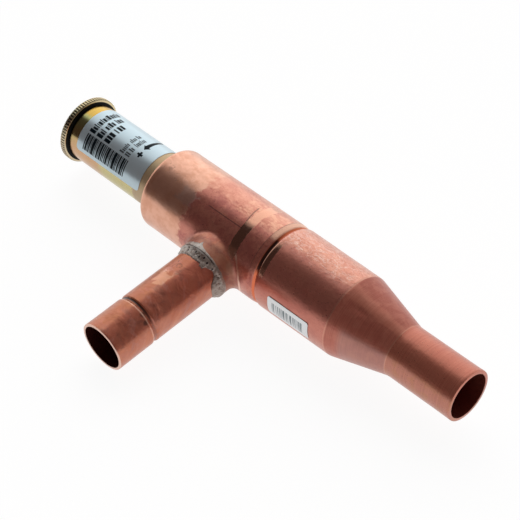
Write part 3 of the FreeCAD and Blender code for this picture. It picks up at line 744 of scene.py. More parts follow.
class Finish(Nodes):
    """A material being made, with places on the valve in millimetres and degrees."""

    def __init__(self, name, colour, metallic=0.0, roughness=0.5):
        self.material = bpy.data.materials.new(name)
        self.material.use_nodes = True
        super().__init__(self.material.node_tree)
        self.bsdf = self.tree.nodes["Principled BSDF"]
        self.set("Base Color", colour)
        self.set("Metallic", metallic)
        self.set("Roughness", roughness)
        place = self.add("TexCoord").outputs["Object"]
        scaled = self.add("VectorMath", {0: place, 3: 1 / MM}, operation="SCALE")
        self.point = scaled.outputs[0]
        x, self.y, self.z = self.parts(self.point)[:3]
        self.x = self.math("SUBTRACT", x, CROSSING)
        self.distance = self.times(self.y, -1.0)

    def set(self, socket, value):
        """Puts a constant or another node's output on one of the shader's sockets."""
        self.plug(self.bsdf.inputs[socket], value)

    def about_main(self):
        """Station, degrees from the inlet's side, and radius about the main axis."""
        angle = self.math("DEGREES", self.math("ARCTAN2", self.z, self.distance))
        return self.x, angle, self.length(self.y, self.z)

    def about_side(self):
        """Distance, degrees from the outlet's side, and radius about the inlet's axis."""
        angle = self.math("DEGREES", self.math("ARCTAN2", self.z, self.x))
        return self.distance, angle, self.length(self.x, self.z)

    def facing(self, edge, low, high, angle):
        """A step from low to high, faded out towards 180 degrees, where the angle jumps."""
        return self.times(self.step(edge, low, high),
                          self.step(self.math("ABSOLUTE", angle), 176.0, 146.0))

    def length(self, a, b):
        return self.math("SQRT", self.plus(self.times(a, a), self.times(b, b)))

    def tarnish(self, metal, oxide, cover):
        """Grains of dull oxide too small to see among bare metal; cover is their share."""
        share = self.between(cover, 0.0, 1.0)
        self.set("Base Color", self.mix(share, metal, oxide))
        self.set("Metallic", self.math("SUBTRACT", 1.0, share))
        self.set("Specular IOR Level", 0.3)

    def bump(self, height, millimetres, under=None):
        """Puts a height on the shader's normal, over an earlier bump if there is one."""
        inputs = {"Height": height, "Distance": millimetres * MM, "Strength": 1.0}
        if under:
            inputs["Normal"] = under
        normal = self.add("Bump", inputs).outputs[0]
        self.set("Normal", normal)
        return normal


def srgb(*channels):
    """A colour written as it looks on screen, 0 to 255, as the renderer's linear values."""
    return tuple(c / 255 / 12.92 if c <= 10 else ((c / 255 + 0.055) / 1.055) ** 2.4
                 for c in channels)


# Dark of real stains and of painted shade
DARK_STAIN_AND_SHADE = (0.10, 0.055, 0.04)
DUST_PINK = (0.92, 0.70, 0.62)
TAN_TINT = (0.66, 0.30, 0.13)


def crackle(f, scale, soft):
    """Patches with winding edges, as oxide leaves them: 0 bare and 1 covered."""
    swirl = f.noise(f.point, scale, detail=5.0, roughness=0.62, distortion=0.9)
    return f.step(swirl, 0.54 - soft, 0.54 + soft)


def lathe_lines(f, along, scale):
    """Fine lines round the main axis."""
    return f.noise(f.combine(f.times(along, scale), f.times(f.y, 0.03), f.times(f.z, 0.03)), 1.0,
                   detail=4.0, roughness=0.65)


def spot_at(f, along, angle, place, degrees, size, radius):
    """Distance from a place on a round surface, in the spot's own size."""
    across = f.times(f.plus(angle, -degrees), math.radians(1) * radius)
    return f.times(f.length(f.plus(along, -place), across), 1 / size)


def copper_body_finish(settings):
    """Drawn copper: smooth at the closed end, mottled by heat, and turned further on."""
    bare, heated_copper = tuple(settings.copper), tuple(settings.heated_copper)
    f = Finish("copper_body", bare)
    station, angle, radius = f.about_main()
    distance, turn, from_side = f.about_side()
    cloud = f.noise(f.point, 0.28, detail=5.0, roughness=0.6)
    grain = f.noise(f.point, 1.4, detail=5.0, roughness=0.7)
    wander = f.plus(f.times(f.plus(cloud, -0.5), 9.0), f.times(f.plus(grain, -0.5), 3.0))
    ragged = f.plus(station, wander)
    very_ragged = f.plus(station, f.times(wander, 2.0))
    round_ragged = f.plus(angle, wander)
    patches = crackle(f, 0.22, 0.03)
    lines = lathe_lines(f, station, 5.5)
    along = f.combine(f.times(station, 0.5), f.y, f.z)
    relief = f.noise(f.point, 1.3, detail=2.0, roughness=0.6)
    streaks = f.noise(along, 0.55, detail=6.0, roughness=0.66, distortion=0.7)
    fine_streaks = f.noise(along, 0.9, detail=3.0, roughness=0.65, distortion=1.2)
    blotched = f.step(f.noise(f.point, 0.26, detail=6.0, roughness=0.66, distortion=0.4),
                      0.44, 0.60)
    net = f.noise(along, 0.42, detail=4.0, roughness=0.6, distortion=0.8)

    # Bands along the valve, with painted highlights and bounce light among them
    on_top = f.facing(round_ragged, 76.0, 90.0, angle)
    heated = f.step(ragged, -16.8, -15.2)
    past_groove = f.step(station, GROOVE_AT - 0.2, GROOVE_AT + 0.1)
    cone = f.band(station, CONE_AT, SOCKET_AT - 0.2, 0.2)
    outlet = f.step(station, SOCKET_AT - 0.2, SOCKET_AT + 0.1)
    turned_part = f.most(cone, outlet)
    drawn_part = f.step(turned_part, 0.5, 0.1)
    neck = f.step(radius, BODY_R + 0.1, BODY_R + 0.9)
    blotches = f.times(blotched, drawn_part, f.between(past_groove, 1.0, 0.4),
                       f.facing(round_ragged, 102.0, 84.0, angle))
    hot_blotches = f.times(blotches, heated)
    # painted highlight: the groove's bevel lit on top, in its colour and a pale oxide
    lip = f.times(f.band(station, 16.5, 18.5, 0.2), f.band(angle, 84.0, 150.0, 8.0))
    # painted highlights: thin bright lines on top of the crumpled copper past the groove
    crumple_highlights = f.times(f.band(net, 0.485, 0.505, 0.012), on_top, past_groove,
                    f.step(station, 50.0, 47.0))
    # painted bounce light: the groove's walls coloured deep orange
    groove_bounce_light = f.band(station, GROOVE_AT - 0.65, GROOVE_AT + 0.1, 0.15)
    polished = f.most(f.times(f.band(f.plus(station, f.times(wander, 0.22)), 5.9, 9.2, 0.3),
                              f.step(station, 9.5, 9.3)),
                      f.times(f.band(station, 20.0, 22.0, 0.6),
                              f.band(angle, 36.0, 76.0, 10.0)))
    polished = f.times(polished, f.band(round_ragged, 34.0, 126.0, 9.0), f.step(neck, 0.5, 0.1))
    gradual = f.most(f.times(heated, f.between(on_top, 1.0, 0.0)),
                     f.step(very_ragged, -20.0, -8.0))
    # painted highlight: an orange line along the closed end's rim
    rim_highlight = f.step(f.plus(station, f.times(wander, 0.03)), BODY_END + 1.1, BODY_END + 0.6)

    # Marks, with painted shade and highlights among them
    specks = f.times(f.step(grain, 0.60, 0.68), f.band(angle, 72.0, 84.0, 6.0),
                     f.step(station, 52.0, 50.0), 0.6)
    scratch = f.times(f.band(f.plus(angle, f.times(wander, 0.15)), 67.7, 68.4, 0.35),
                      f.band(station, -9.0, 6.0, 0.8), 0.8)
    edge_line = f.times(f.band(f.plus(station, f.times(f.plus(angle, -92.0), 0.045)),
                               4.9, 5.15, 0.2), f.band(angle, 80.0, 104.0, 4.0), 0.6)
    # painted shade: the body darkened round the neck's foot
    shade_round_neck = f.times(f.step(from_side, 14.5, 11.5), f.step(distance, 13.2, 15.2), 0.4)
    crumbs = f.times(f.step(grain, 0.66, 0.74), f.between(turned_part, 0.35, 0.1))
    # painted shade: a dark line where the groove's bevel starts
    crease = f.times(f.band(station, 16.2, 16.45, 0.12), f.band(angle, 50.0, 140.0, 20.0), 0.4)
    blemish = spot_at(f, station, angle, -31.0, 82.0, 1.6, BODY_R)
    spot = f.times(f.step(blemish, 1.0, 0.5), f.step(streaks, 0.42, 0.55), 0.35)
    # painted dark reflection: the polished strips darkened between 46 and 78 degrees, the side that
    # reflects the dark half of the light tent
    polished_dark_reflection = f.times(polished, f.band(round_ragged, 46.0, 78.0, 6.0), 0.5)
    # real specks, scratches, lines, crumbs and a blemish, with the painted shade round the neck and
    # along the bevel, and the painted dark reflection on the polished strips
    stain_and_shade = f.most(specks, scratch, edge_line, crumbs, crease, spot, shade_round_neck, polished_dark_reflection)
    groove_shadow = f.times(f.band(station, GROOVE_AT - 0.5, GROOVE_AT + 0.6, 0.2),
                            f.band(angle, 38.0, 80.0, 8.0), 0.92)
    blue = f.times(f.band(ragged, -21.5, -16.0, 1.5), f.band(round_ragged, 54.0, 70.0, 5.0))
    # painted highlights: thin lit lines where the cone and the socket start
    shoulder_highlight = f.most(f.band(station, CONE_AT - 0.45, CONE_AT - 0.05, 0.12),
                      f.band(station, SOCKET_AT - 0.3, SOCKET_AT, 0.15))
    # painted highlight: a lit line along the neck's foot on the outlet's side
    pulled = f.times(f.band(f.plus(from_side, f.times(wander, 0.06)), 12.7, 13.2, 0.25),
                     f.band(turn, -30.0, 40.0, 10.0))
    # painted highlights of the edges and the neck's foot
    edge_highlights = f.most(f.times(shoulder_highlight, 0.5), pulled)
    # painted shade: dark red round the neck's foot, on top and on the closed end's side
    foot = f.times(f.band(from_side, 11.8, 14.4, 0.7), f.band(turn, 75.0, 165.0, 14.0))
    # painted shade: the heated copper tinted burgundy below about 86 degrees, the band that
    # reflects the dark side
    burgundy_shade = f.times(f.facing(round_ragged, 92.0, 80.0, angle), heated, drawn_part,
                       f.step(angle, -20.0, 10.0))
    orange = f.times(f.band(very_ragged, 1.0, 17.0, 2.0), on_top, f.step(streaks, 0.54, 0.46))
    mauve = f.times(f.facing(angle, 40.0, 28.0, angle), f.step(station, 54.0, 57.0), 0.5)
    # painted shade: the body's inside wall darkened, as seen down the outlet
    bore = f.times(f.step(radius, 13.0, 12.6), f.step(station, OUTLET - 0.1, OUTLET - 0.4),
                   f.step(radius, SOCKET_R + 0.35, SOCKET_R + 0.2))

    # Bare metal's colour, part by part and then under the marks and the painted light
    smooth = f.mix(f.step(cloud, 0.42, 0.62), bare, (0.84, 0.42, 0.28))
    mottled = f.layers(
        heated_copper,
        (patches, f.between(on_top, 1.0, 0.4), (0.74, 0.33, 0.235)),
        (f.step(fine_streaks, 0.48, 0.66), 0.4, (0.54, 0.20, 0.14)),
        (f.times(f.step(streaks, 0.48, 0.60), f.band(round_ragged, 70.0, 92.0, 6.0)), 0.6,
         (0.52, 0.20, 0.14)))
    second = f.layers(
        heated_copper,
        # painted shade: darker below about 70 degrees
        (f.facing(round_ragged, 80.0, 62.0, angle), 0.35, (0.70, 0.29, 0.20)),
        (f.step(fine_streaks, 0.48, 0.66), 0.45, (0.50, 0.20, 0.14)),
        # painted highlights: pale streaks on top
        (f.times(f.step(fine_streaks, 0.5, 0.36), on_top), 0.4, (0.94, 0.58, 0.46)))
    turned = f.layers(
        tuple(settings.turned_copper),
        (f.step(lines, 0.42, 0.62), f.step(angle, 30.0, 70.0, 0.5, 1.0), (0.44, 0.22, 0.16)),
        # painted highlight: a lighter band between 78 and 94 degrees
        (f.band(round_ragged, 78.0, 94.0, 6.0), 0.6, (0.86, 0.42, 0.29)),
        (f.facing(angle, 92.0, 104.0, angle), 0.6, (0.42, 0.20, 0.15)),
        (mauve, 1, (0.66, 0.40, 0.36)),
        (blotched, 0.3, (0.90, 0.48, 0.34)))
    drawn = f.layers(
        f.mix(f.step(lines, 0.46, 0.64), (0.70, 0.30, 0.20), (0.58, 0.23, 0.155)),
        (f.times(f.step(cloud, 0.46, 0.60), f.facing(angle, 45.0, 25.0, angle)), 0.6, TAN_TINT))
    heat = f.layers(
        f.mix(f.step(cloud, 0.4, 0.6), (0.80, 0.33, 0.21), (0.96, 0.54, 0.37)),
        (foot, 0.8, (0.42, 0.12, 0.09)))
    metal = f.layers(
        smooth,
        (gradual, 1, mottled),
        (past_groove, 1, second),
        (burgundy_shade, 0.5, (0.60, 0.22, 0.18)),
        (hot_blotches, 0.55, (0.50, 0.17, 0.14)),
        (orange, 0.6, (0.98, 0.56, 0.37)),
        (crumple_highlights, 0.75, (1.0, 0.74, 0.62)),
        (cone, 1, turned),
        (outlet, 1, drawn),
        (polished, 1, (0.80, 0.40, 0.27)),
        (lip, 1, (1.0, 0.66, 0.48)),
        (neck, 1, heat),
        (stain_and_shade, 1, DARK_STAIN_AND_SHADE),
        (blue, 0.3, (0.50, 0.43, 0.45)),
        (rim_highlight, 0.75, (0.85, 0.36, 0.13)),
        (groove_bounce_light, 1, (0.82, 0.21, 0.09)),
        # painted highlights on the edges and along the neck's foot
        (edge_highlights, 0.6, bare),
        (pulled, 0.8, (1.0, 0.68, 0.54)),
        (groove_shadow, 1, (0.02, 0.01, 0.01)),
        (bore, 1, (0.36, 0.09, 0.06)))

    # Oxide's colour and its share
    oxide = f.layers(
        (0.50, 0.20, 0.10),
        (heated, 1, tuple(settings.oxide)),
        (neck, 0.9, (0.84, 0.28, 0.15)),
        (hot_blotches, 0.8, (0.42, 0.05, 0.045)),
        (lip, 1, (1.0, 0.50, 0.33)),
        (f.most(stain_and_shade, groove_shadow), 1, DARK_STAIN_AND_SHADE),
        (mauve, 1, (0.40, 0.22, 0.19)),
        (bore, 1, (0.20, 0.04, 0.03)))
    cover = f.plus(f.between(heated, 0.14, 0.25), f.times(outlet, 0.12), f.times(cone, 0.22),
                   f.times(f.plus(cloud, -0.5), f.between(turned_part, 0.3, 0.1)),
                   f.times(f.plus(lines, -0.5), turned_part, 0.5), f.times(neck, 0.04),
                   f.times(hot_blotches, 0.08),
                   f.times(f.step(streaks, 0.50, 0.38), on_top,
                           f.between(turned_part, -0.16, 0.0)))
    cover = f.times(cover, f.between(polished, 1.0, 0.05),
                    f.between(f.most(edge_highlights, groove_bounce_light, rim_highlight), 1.0, 0.3))
    cover = f.most(cover, f.times(neck, f.step(foot, 1.0, 0.2), 0.56), f.times(lip, 0.7))
    f.tarnish(metal, oxide, cover)
    f.set("Coat Weight", 0.25)
    f.set("Coat IOR", 1.7)
    f.set("Coat Roughness", 0.25)

    # Gloss and relief
    rough = f.plus(f.between(heated, 0.28, 0.30), f.times(polished, -0.16),
                   f.times(f.line(grain, 0.3, 0.7, -0.04, 0.06), heated), f.times(neck, 0.18),
                   f.times(cone, 0.06))
    f.set("Roughness", f.most(rough, 0.12))
    waves = f.bump(f.noise(f.point, 0.16, detail=2.0), 0.16)
    crinkle = f.times(fine_streaks, on_top, past_groove, f.step(station, 51.0, 50.0), 3.6)
    height = f.plus(f.times(relief, heated, f.between(polished, 0.8, 0.1)), crinkle,
                    f.times(streaks, gradual, 0.8), f.times(lines, turned_part, 0.7))
    f.bump(height, 0.035, waves)
    return f.material


def inlet_finish(settings):
    """Copper of the inlet tube, oranger than the body, with painted shade in dark red on one side,
    most towards the braze.
    """
    copper = tuple(settings.copper)
    f = Finish("copper_inlet", copper)
    distance, angle, radius = f.about_side()
    cloud = f.noise(f.point, 0.22, detail=5.0, roughness=0.6, distortion=0.4)
    grain = f.noise(f.point, 1.4, detail=5.0, roughness=0.7)
    wander = f.times(f.plus(cloud, -0.5), 14.0)
    round_ragged = f.plus(angle, wander)
    round_very_ragged = f.plus(angle, f.times(wander, 2.0))
    patches = crackle(f, 0.18, 0.05)
    relief = f.noise(f.point, 1.2, detail=2.0)
    streaks = f.noise(f.combine(f.times(f.plus(distance, f.z), 0.3), f.times(f.x, 0.12),
                                f.times(f.z, 0.12)), 1.0, detail=4.0, roughness=0.6)

    # Tints and marks, with painted shade and highlights among them
    tan = f.times(f.facing(round_very_ragged, 70.0, 104.0, angle), f.step(cloud, 0.58, 0.44))
    golden = f.times(f.facing(round_ragged, 84.0, 100.0, angle), f.step(streaks, 0.62, 0.44))
    # painted highlight: a pale patch on top
    pale_highlight = f.times(f.band(f.plus(distance, wander), 32.5, 37.5, 1.2),
                   f.band(round_very_ragged, 84.0, 112.0, 5.0))
    ring_at = spot_at(f, distance, angle, 27.6, 95.0, 1.0, TUBE_R)
    ring = f.times(f.band(ring_at, 0.7, 1.0, 0.35), f.step(grain, 0.36, 0.6), 0.45)
    line = f.times(f.band(f.plus(angle, f.times(wander, 0.4)), 106.5, 107.5, 1.0),
                   f.band(distance, 24.0, 29.0, 0.6), f.step(grain, 0.42, 0.54), 0.6)
    smudge = f.most(f.step(spot_at(f, distance, angle, 49.6, 39.0, 1.3, TUBE_R), 1.0, 0.3),
                    f.step(spot_at(f, distance, angle, 48.6, 57.0, 1.5, TUBE_R), 1.0, 0.3))
    shadows = f.times(f.step(cloud, 0.50, 0.70), f.band(angle, 30.0, 84.0, 14.0), 0.3)
    # painted shade: the rolled stop's groove darkened
    groove = f.times(f.band(distance, STOP_AT - 0.5, STOP_AT + 0.05, 0.15),
                     f.step(angle, 20.0, 75.0, 0.25, 1.0))
    # real rings, lines, smudges and specks, with the painted shade of the groove and the shadows
    stain_and_shade = f.most(ring, line, f.times(smudge, 0.75), groove, shadows,
                   f.times(f.step(grain, 0.64, 0.74), 0.1))
    lip = f.times(f.band(distance, STOP_AT + 0.9, STOP_AT + 1.4, 0.2), 0.7)
    # painted highlight: a pale line round the inlet's mouth
    rim_highlight = f.step(distance, INLET - 0.3, INLET - 0.15)
    # painted shade: the tube's inside wall darkened
    inside = f.times(f.step(radius, 8.3, 8.0), f.step(distance, INLET - 0.1, INLET - 0.3))

    metal = f.layers(
        copper,
        (f.step(cloud, 0.4, 0.62), 1, (0.74, 0.33, 0.215)),
        # painted shade: darker red between 32 and 78 degrees, the side that reflects the dark side
        (f.band(round_ragged, 32.0, 78.0, 8.0), 0.6, (0.62, 0.20, 0.13)),
        (tan, 0.8, TAN_TINT),
        (golden, 0.6, (0.62, 0.28, 0.13)),
        (pale_highlight, 0.5, (0.90, 0.50, 0.34)),
        (f.times(patches, f.step(streaks, 0.5, 0.6)), 0.25, DUST_PINK),
        (stain_and_shade, 1, DARK_STAIN_AND_SHADE),
        (lip, 1, (0.93, 0.56, 0.41)),
        (rim_highlight, 0.7, (0.96, 0.72, 0.60)),
        (inside, 1, (0.14, 0.03, 0.02)))
    oxide = f.layers((0.50, 0.08, 0.045), (stain_and_shade, 1, DARK_STAIN_AND_SHADE), (inside, 1, (0.08, 0.015, 0.01)))
    cover = f.plus(0.34, f.times(f.plus(streaks, -0.5), 0.6), f.times(patches, 0.08),
                   # more oxide towards the braze, only between 20 and 70 degrees: painted shade
                   f.times(f.step(distance, 47.0, 30.0), f.band(angle, 20.0, 70.0, 12.0), 0.14),
                   f.times(golden, 0.16))
    cover = f.times(cover, f.between(pale_highlight, 1.0, 0.35), f.between(lip, 1.0, 0.3),
                    f.between(rim_highlight, 1.0, 0.3))
    f.tarnish(metal, oxide, cover)
    f.set("Coat Weight", 0.25)
    f.set("Coat IOR", 1.6)
    f.set("Coat Roughness", 0.2)
    f.set("Roughness", f.line(relief, 0.3, 0.7, 0.30, 0.36))
    waves = f.bump(f.noise(f.point, 0.2, detail=2.0, distortion=0.6), 0.34)
    f.bump(relief, 0.012, waves)
    return f.material


def braze_finish(settings):
    """Dull silver braze with dark brown specks, darker and browner away from the top, its pits
    darkened, and a painted shadow in the crevice along the neck's edge.
    """
    light = tuple(settings.braze)
    f = Finish("braze", light, metallic=0.55, roughness=0.42)
    distance, angle = f.about_side()[:2]
    grain = f.noise(f.point, 1.9, detail=5.0, roughness=0.65)
    cloud = f.noise(f.point, 0.8, detail=5.0, roughness=0.6)
    # painted shadow: a dark line in the crevice along the neck's edge
    crease = f.times(f.band(distance, 19.05, 19.4, 0.18), f.band(angle, 52.0, 128.0, 8.0), 0.75)
    pits = [f.step(spot_at(f, distance, angle, place, degrees, 0.42, 10.6), 1.0, 0.6)
            for place, degrees in ((20.3, 44), (20.6, 60), (20.2, 71), (21.0, 80), (20.4, 92),
                                   (20.9, 112))]
    f.set("Base Color", f.layers(
        light,
        (f.facing(angle, 100.0, 40.0, angle), 1, srgb(178, 163, 153)),
        (f.step(cloud, 0.48, 0.60), 0.8, srgb(140, 118, 108)),
        (f.step(grain, 0.60, 0.70), 0.8, srgb(58, 40, 34)),
        (f.most(crease, *pits), 1, srgb(52, 44, 46))))
    f.set("Roughness", f.line(grain, 0.3, 0.7, 0.32, 0.52))
    f.bump(f.plus(grain, cloud), 0.05)
    return f.material


def brass_finish(name, brass, knurl_gap_radius=None, rim_station=None):
    """Turned yellow brass with painted reflections, olive and pink below the top, and the knurl's
    gaps darkened if their radius is given.
    """
    gold = tuple(brass)
    f = Finish(name, gold, metallic=1.0, roughness=0.16)
    station, angle, radius = f.about_main()
    cloud = f.noise(f.point, 0.16, detail=3.0, roughness=0.5)
    lines = lathe_lines(f, station, 6.0)
    wander = f.times(f.plus(cloud, -0.5), 40.0)
    turn = f.plus(angle, wander)
    low = f.facing(turn, 34.0, 10.0, angle)
    far = f.times(low, f.step(f.plus(station, f.times(wander, 0.3)), -66.0, -58.0))
    colour = f.layers(
        gold,
        # painted reflection: olive where the brass faces the dark side, pink near the copper lower
        # down
        (f.facing(turn, 84.0, 70.0, angle), 1, (0.46, 0.50, 0.22)),
        (f.facing(turn, 66.0, 44.0, angle), 1, (0.50, 0.40, 0.17)),
        (low, 1, (0.62, 0.37, 0.21)),
        (far, 0.9, (0.60, 0.55, 0.27)),
        (f.step(lines, 0.48, 0.7), 0.4, (0.42, 0.34, 0.14)))
    if knurl_gap_radius:
        # the knurl's gaps darkened
        gaps = f.times(f.step(radius, knurl_gap_radius + 0.08, knurl_gap_radius - 0.08),
                       f.step(station, rim_station, rim_station - 0.1),
                       f.step(radius, knurl_gap_radius - 0.7, knurl_gap_radius - 0.5))
        colour = f.mix(0.7, colour, (0.74, 0.66, 0.47))
        colour = f.mix(gaps, colour, (0.012, 0.014, 0.012))
    dulled = f.times(f.step(f.plus(station, f.times(wander, 0.03)), -44.6, -43.6), 0.85)
    f.set("Metallic", f.between(dulled, 1.0, 0.45))
    f.set("Base Color", f.mix(dulled, colour, (0.60, 0.44, 0.28)))
    f.set("Roughness", f.between(dulled, 0.16, 0.42))
    f.bump(lines, 0.012)
    return f.material


def plain_metal(name, colour, roughness, thread_r=None):
    """A machined metal with a fine turned grain, and a thread's ridges from a radius on."""
    f = Finish(name, colour, metallic=1.0, roughness=roughness)
    station, _, radius = f.about_main()
    shade = f.noise(f.point, 0.25, detail=3.0)
    darker = tuple(c * 0.8 for c in colour)
    f.set("Base Color", f.mix(f.step(shade, 0.35, 0.7), colour, darker))
    grain = f.bump(lathe_lines(f, station, 6.0), 0.012)
    if thread_r:
        ridges = f.times(f.math("PINGPONG", station, 0.5), f.step(radius, thread_r, thread_r + 0.1))
        f.bump(ridges, 0.6, grain)
    return f.material


BAR_STEPS = (5, 2, 9, 2, 3, 2, 6, 3, 3, 2, 12, 2, 4, 2, 3, 3, 7, 2, 3, 2, 8, 2, 5, 3, 4)


def rating_label_finish(settings):
    """Glossy film with rows of blocks, a field of bars, an arrow and a plus sign."""
    paper, ink = tuple(settings.film), tuple(settings.ink)
    f = Finish("rating_label_print", paper, roughness=0.28)
    station, angle = f.about_main()[:2]
    rows = (                                   # low, high, ink's share, tall blocks, short ones
        (-70.7, -68.0, 1, (58, 64.6, 72, 74.6, 86, 88.6, 100, 105.4, 118, 120.6),
         (66, 70.6, 76.2, 78.2, 79.6, 84.6, 90, 95.2, 96.6, 98.8, 106.8, 111.4, 112.8, 116.6,
          122, 126.8)),
        (-67.0, -64.3, 1, (58, 65, 71.8, 74, 88, 93, 104, 106.4),
         (66.4, 70.4, 79, 83.4, 84.8, 86.8, 94.4, 98.8, 107.8, 112.6, 114, 118.4)),
        (-63.1, -60.4, 1, (58, 64.8, 66.2, 71.4, 72.8, 79.4, 85.4, 88, 92, 97.6, 99, 104), ()),
        (-55.1, -53.1, 0.9, (59, 62.6, 74.6, 76, 88, 90.4, 101, 103.4),
         (63.8, 66.6, 67.6, 70.2, 71.2, 73.6, 77, 79.6, 85, 87, 91.6, 94.4, 95.4, 98, 104.6, 108)),
        (-52.4, -50.2, 0.9, (59, 62.4, 63.6, 66.4, 71, 73.8, 84, 85.6, 97, 99.2),
         (75, 77.6, 86.8, 89.6, 90.6, 93.4, 94.4, 96, 100.4, 103, 104, 106.6)),
    )
    printed = []
    for low, high, weight, tall, short in rows:
        row = f.times(f.band(station, low, high, 0.1), f.marks(angle, 50.0, 150.0, tall))
        if short:
            row = f.most(row, f.times(f.band(station, low + 0.6, high, 0.1),
                                      f.marks(angle, 50.0, 150.0, short)))
        printed.append(f.times(row, weight))
    fields = []
    for start, end in ((-70.6, -60.2), (-59.9, -49.5)):
        edges = [start]
        for step in BAR_STEPS:
            edges.append(edges[-1] + step * (end - start) / sum(BAR_STEPS))
        fields.append(f.marks(station, -71.0, -49.0, edges))
    bars = f.times(f.most(*fields), f.band(angle, 21.0, 53.5, 1.0))
    shaft = f.times(f.band(angle, 96.0, 138.0, 1.0),
                    f.math("LESS_THAN", f.math("ABSOLUTE", f.plus(station, 47.85)),
                           f.line(angle, 96.0, 138.0, 0.85, 0.45)))
    reach = f.math("ABSOLUTE", f.plus(station, 47.75))
    head = f.times(f.band(angle, 88.5, 97.0, 0.4),
                   f.math("LESS_THAN", reach, f.line(angle, 88.5, 97.0, 0.1, 1.6)))
    upright = f.times(f.band(station, -47.7, -46.95, 0.08), f.band(angle, 69.5, 81.5, 0.5))
    cross = f.times(f.band(station, -48.5, -46.15, 0.08), f.band(angle, 73.5, 77.4, 0.5))
    inked = f.most(*printed, bars, shaft, head, upright, cross)
    f.set("Base Color", f.mix(inked, paper, ink))
    f.set("Metallic", f.between(inked, 0.52, 0.0))
    f.set("Specular IOR Level", f.between(inked, 0.5, 0.1))
    return f.material


def small_label_finish(paper):
    """White label with a field of soft blue-green bars."""
    ink = (0.05, 0.13, 0.16)
    f = Finish("small_label_print", paper, roughness=0.3)
    station, angle = f.about_main()[:2]
    soft = f.noise(f.combine(f.times(station, 1.3), 0.0), 1.0, detail=2.0, roughness=0.8)
    fade = f.step(f.plus(angle, f.times(soft, 14.0)), 0.0, 8.0)
    bars = f.times(f.step(soft, 0.46, 0.56), f.band(station, 28.3, 41.7, 0.25),
                   f.band(angle, -8.6, 7.6, 1.0), f.between(fade, 0.55, 0.95))
    f.set("Base Color", f.mix(bars, paper, ink))
    f.set("Metallic", f.between(bars, 0.8, 0.0))
    return f.material


def rubber_finish(black):
    """Black rubber of the gasket."""
    f = Finish("black_gasket", black, roughness=0.6)
    f.set("Specular IOR Level", 0.15)
    f.bump(f.noise(f.point, 2.0), 0.01)
    return f.material


def ring_plastic():
    """White slippery plastic of the piston's ring."""
    f = Finish("white_plastic", srgb(232, 232, 226), roughness=0.45)
    cloud = f.noise(f.point, 0.8)
    f.set("Base Color", f.mix(cloud, srgb(236, 236, 230), srgb(222, 222, 214)))
    return f.material


def paint(node, material):
    """Gives a CAD node's object its finish."""
    slots = NODES[node].material_slots
    for slot in slots:
        slot.material = material
    if not slots:
        NODES[node].data.materials.append(material)


# Operators

def colour(name, description, default):
    """A colour property with linear values."""
    return bpy.props.FloatVectorProperty(name=name, description=description, default=default,
                                         size=3, min=0.0, max=1.0, subtype="COLOR")


class ValveBody(bpy.types.PropertyGroup):
    dents: bpy.props.FloatProperty(
        name="Dents", description="Depth of the dents and unevenness, 1 as in the photograph",
        default=1.0, min=0.0, max=2.0, subtype="FACTOR")
    copper: colour("Bare copper", "Smooth copper of the closed end", (0.91, 0.49, 0.345))
    heated_copper: colour("Heated copper", "Mottled copper round the neck", (0.86, 0.42, 0.295))
    turned_copper: colour("Turned copper", "Copper of the cone", (0.66, 0.28, 0.20))
    oxide: colour("Oxide", "Red oxide on the heated copper", (0.60, 0.085, 0.05))


class ValveInlet(bpy.types.PropertyGroup):
    copper: colour("Inlet copper", "Copper of the inlet tube", (0.78, 0.31, 0.17))
    braze: colour("Braze", "Bright parts of the braze", (0.58, 0.53, 0.48))


class ValveCap(bpy.types.PropertyGroup):
    teeth: bpy.props.IntProperty(
        name="Teeth", description="Number of the knurl's teeth", default=74, min=24, max=120)
    tooth: bpy.props.FloatProperty(
        name="Tooth depth", description="Depth of the knurl", default=0.00042, min=0.0001,
        max=0.0006, precision=5, unit="LENGTH")
    brass: colour("Brass", "Yellow of the turned brass", (0.72, 0.46, 0.10))
    rubber: colour("Gasket", "Colour of the gasket", (0.0037, 0.0045, 0.005))


class ValveFlexible(bpy.types.PropertyGroup):
    """Main spring and bellows"""
    turns: bpy.props.FloatProperty(
        name="Turns", description="Turns of the main spring's wire",
        default=7.5, min=4.0, max=9.0, subtype="UNSIGNED")
    folds: bpy.props.IntProperty(
        name="Folds", description="Number of folds of the bellows",
        default=7, min=3, max=12, subtype="UNSIGNED")
    wire: colour("Wire", "Colour of the spring's oiled steel", (0.2, 0.21, 0.22))
    bronze: colour("Bronze", "Colour of the bellows", (0.48, 0.27, 0.11))


class ValveSolids(bpy.types.PropertyGroup):
    film: colour("Label film", "Pale film of the rating label", (0.64, 0.79, 0.86))
    ink: colour("Ink", "Ink of the rating label", (0.0015, 0.008, 0.013))
    small_film: colour("Small label", "White of the small label", (0.86, 0.89, 0.90))
    brass: colour("Inner brass", "Brass of the pieces inside", (0.67, 0.51, 0.19))
    steel: colour("Steel", "Steel of the pieces inside", (0.51, 0.51, 0.54))


class ValveStage(bpy.types.PropertyGroup):
    floor_size: bpy.props.FloatProperty(
        name="Floor size", description="Width of the table", default=3.0, min=0.5,
        unit="LENGTH")
    floor: colour("Floor", "White of the table", (0.86, 0.86, 0.86))
    lens: bpy.props.FloatProperty(
        name="Lens", description="Focal length of the camera", default=120.64,
        min=20.0, max=300.0, unit="CAMERA")


LEAN = math.atan2(0.094, 0.9956)               # roll at which the part lies on the table
TABLE_GAP = 0.02
CAMERA_PLACE = (0.208157, -0.252556, 0.422452)
CAMERA_DEGREES = (42.3077, 3.9745, 45.4735)
LAMP_DIRECTION = (-0.4, 0.7, 0.6)
TENT_DIRECTION = (0.382, -0.858, 0.342)        # towards the tent's dark side
TABLE_GLOW = 1.08


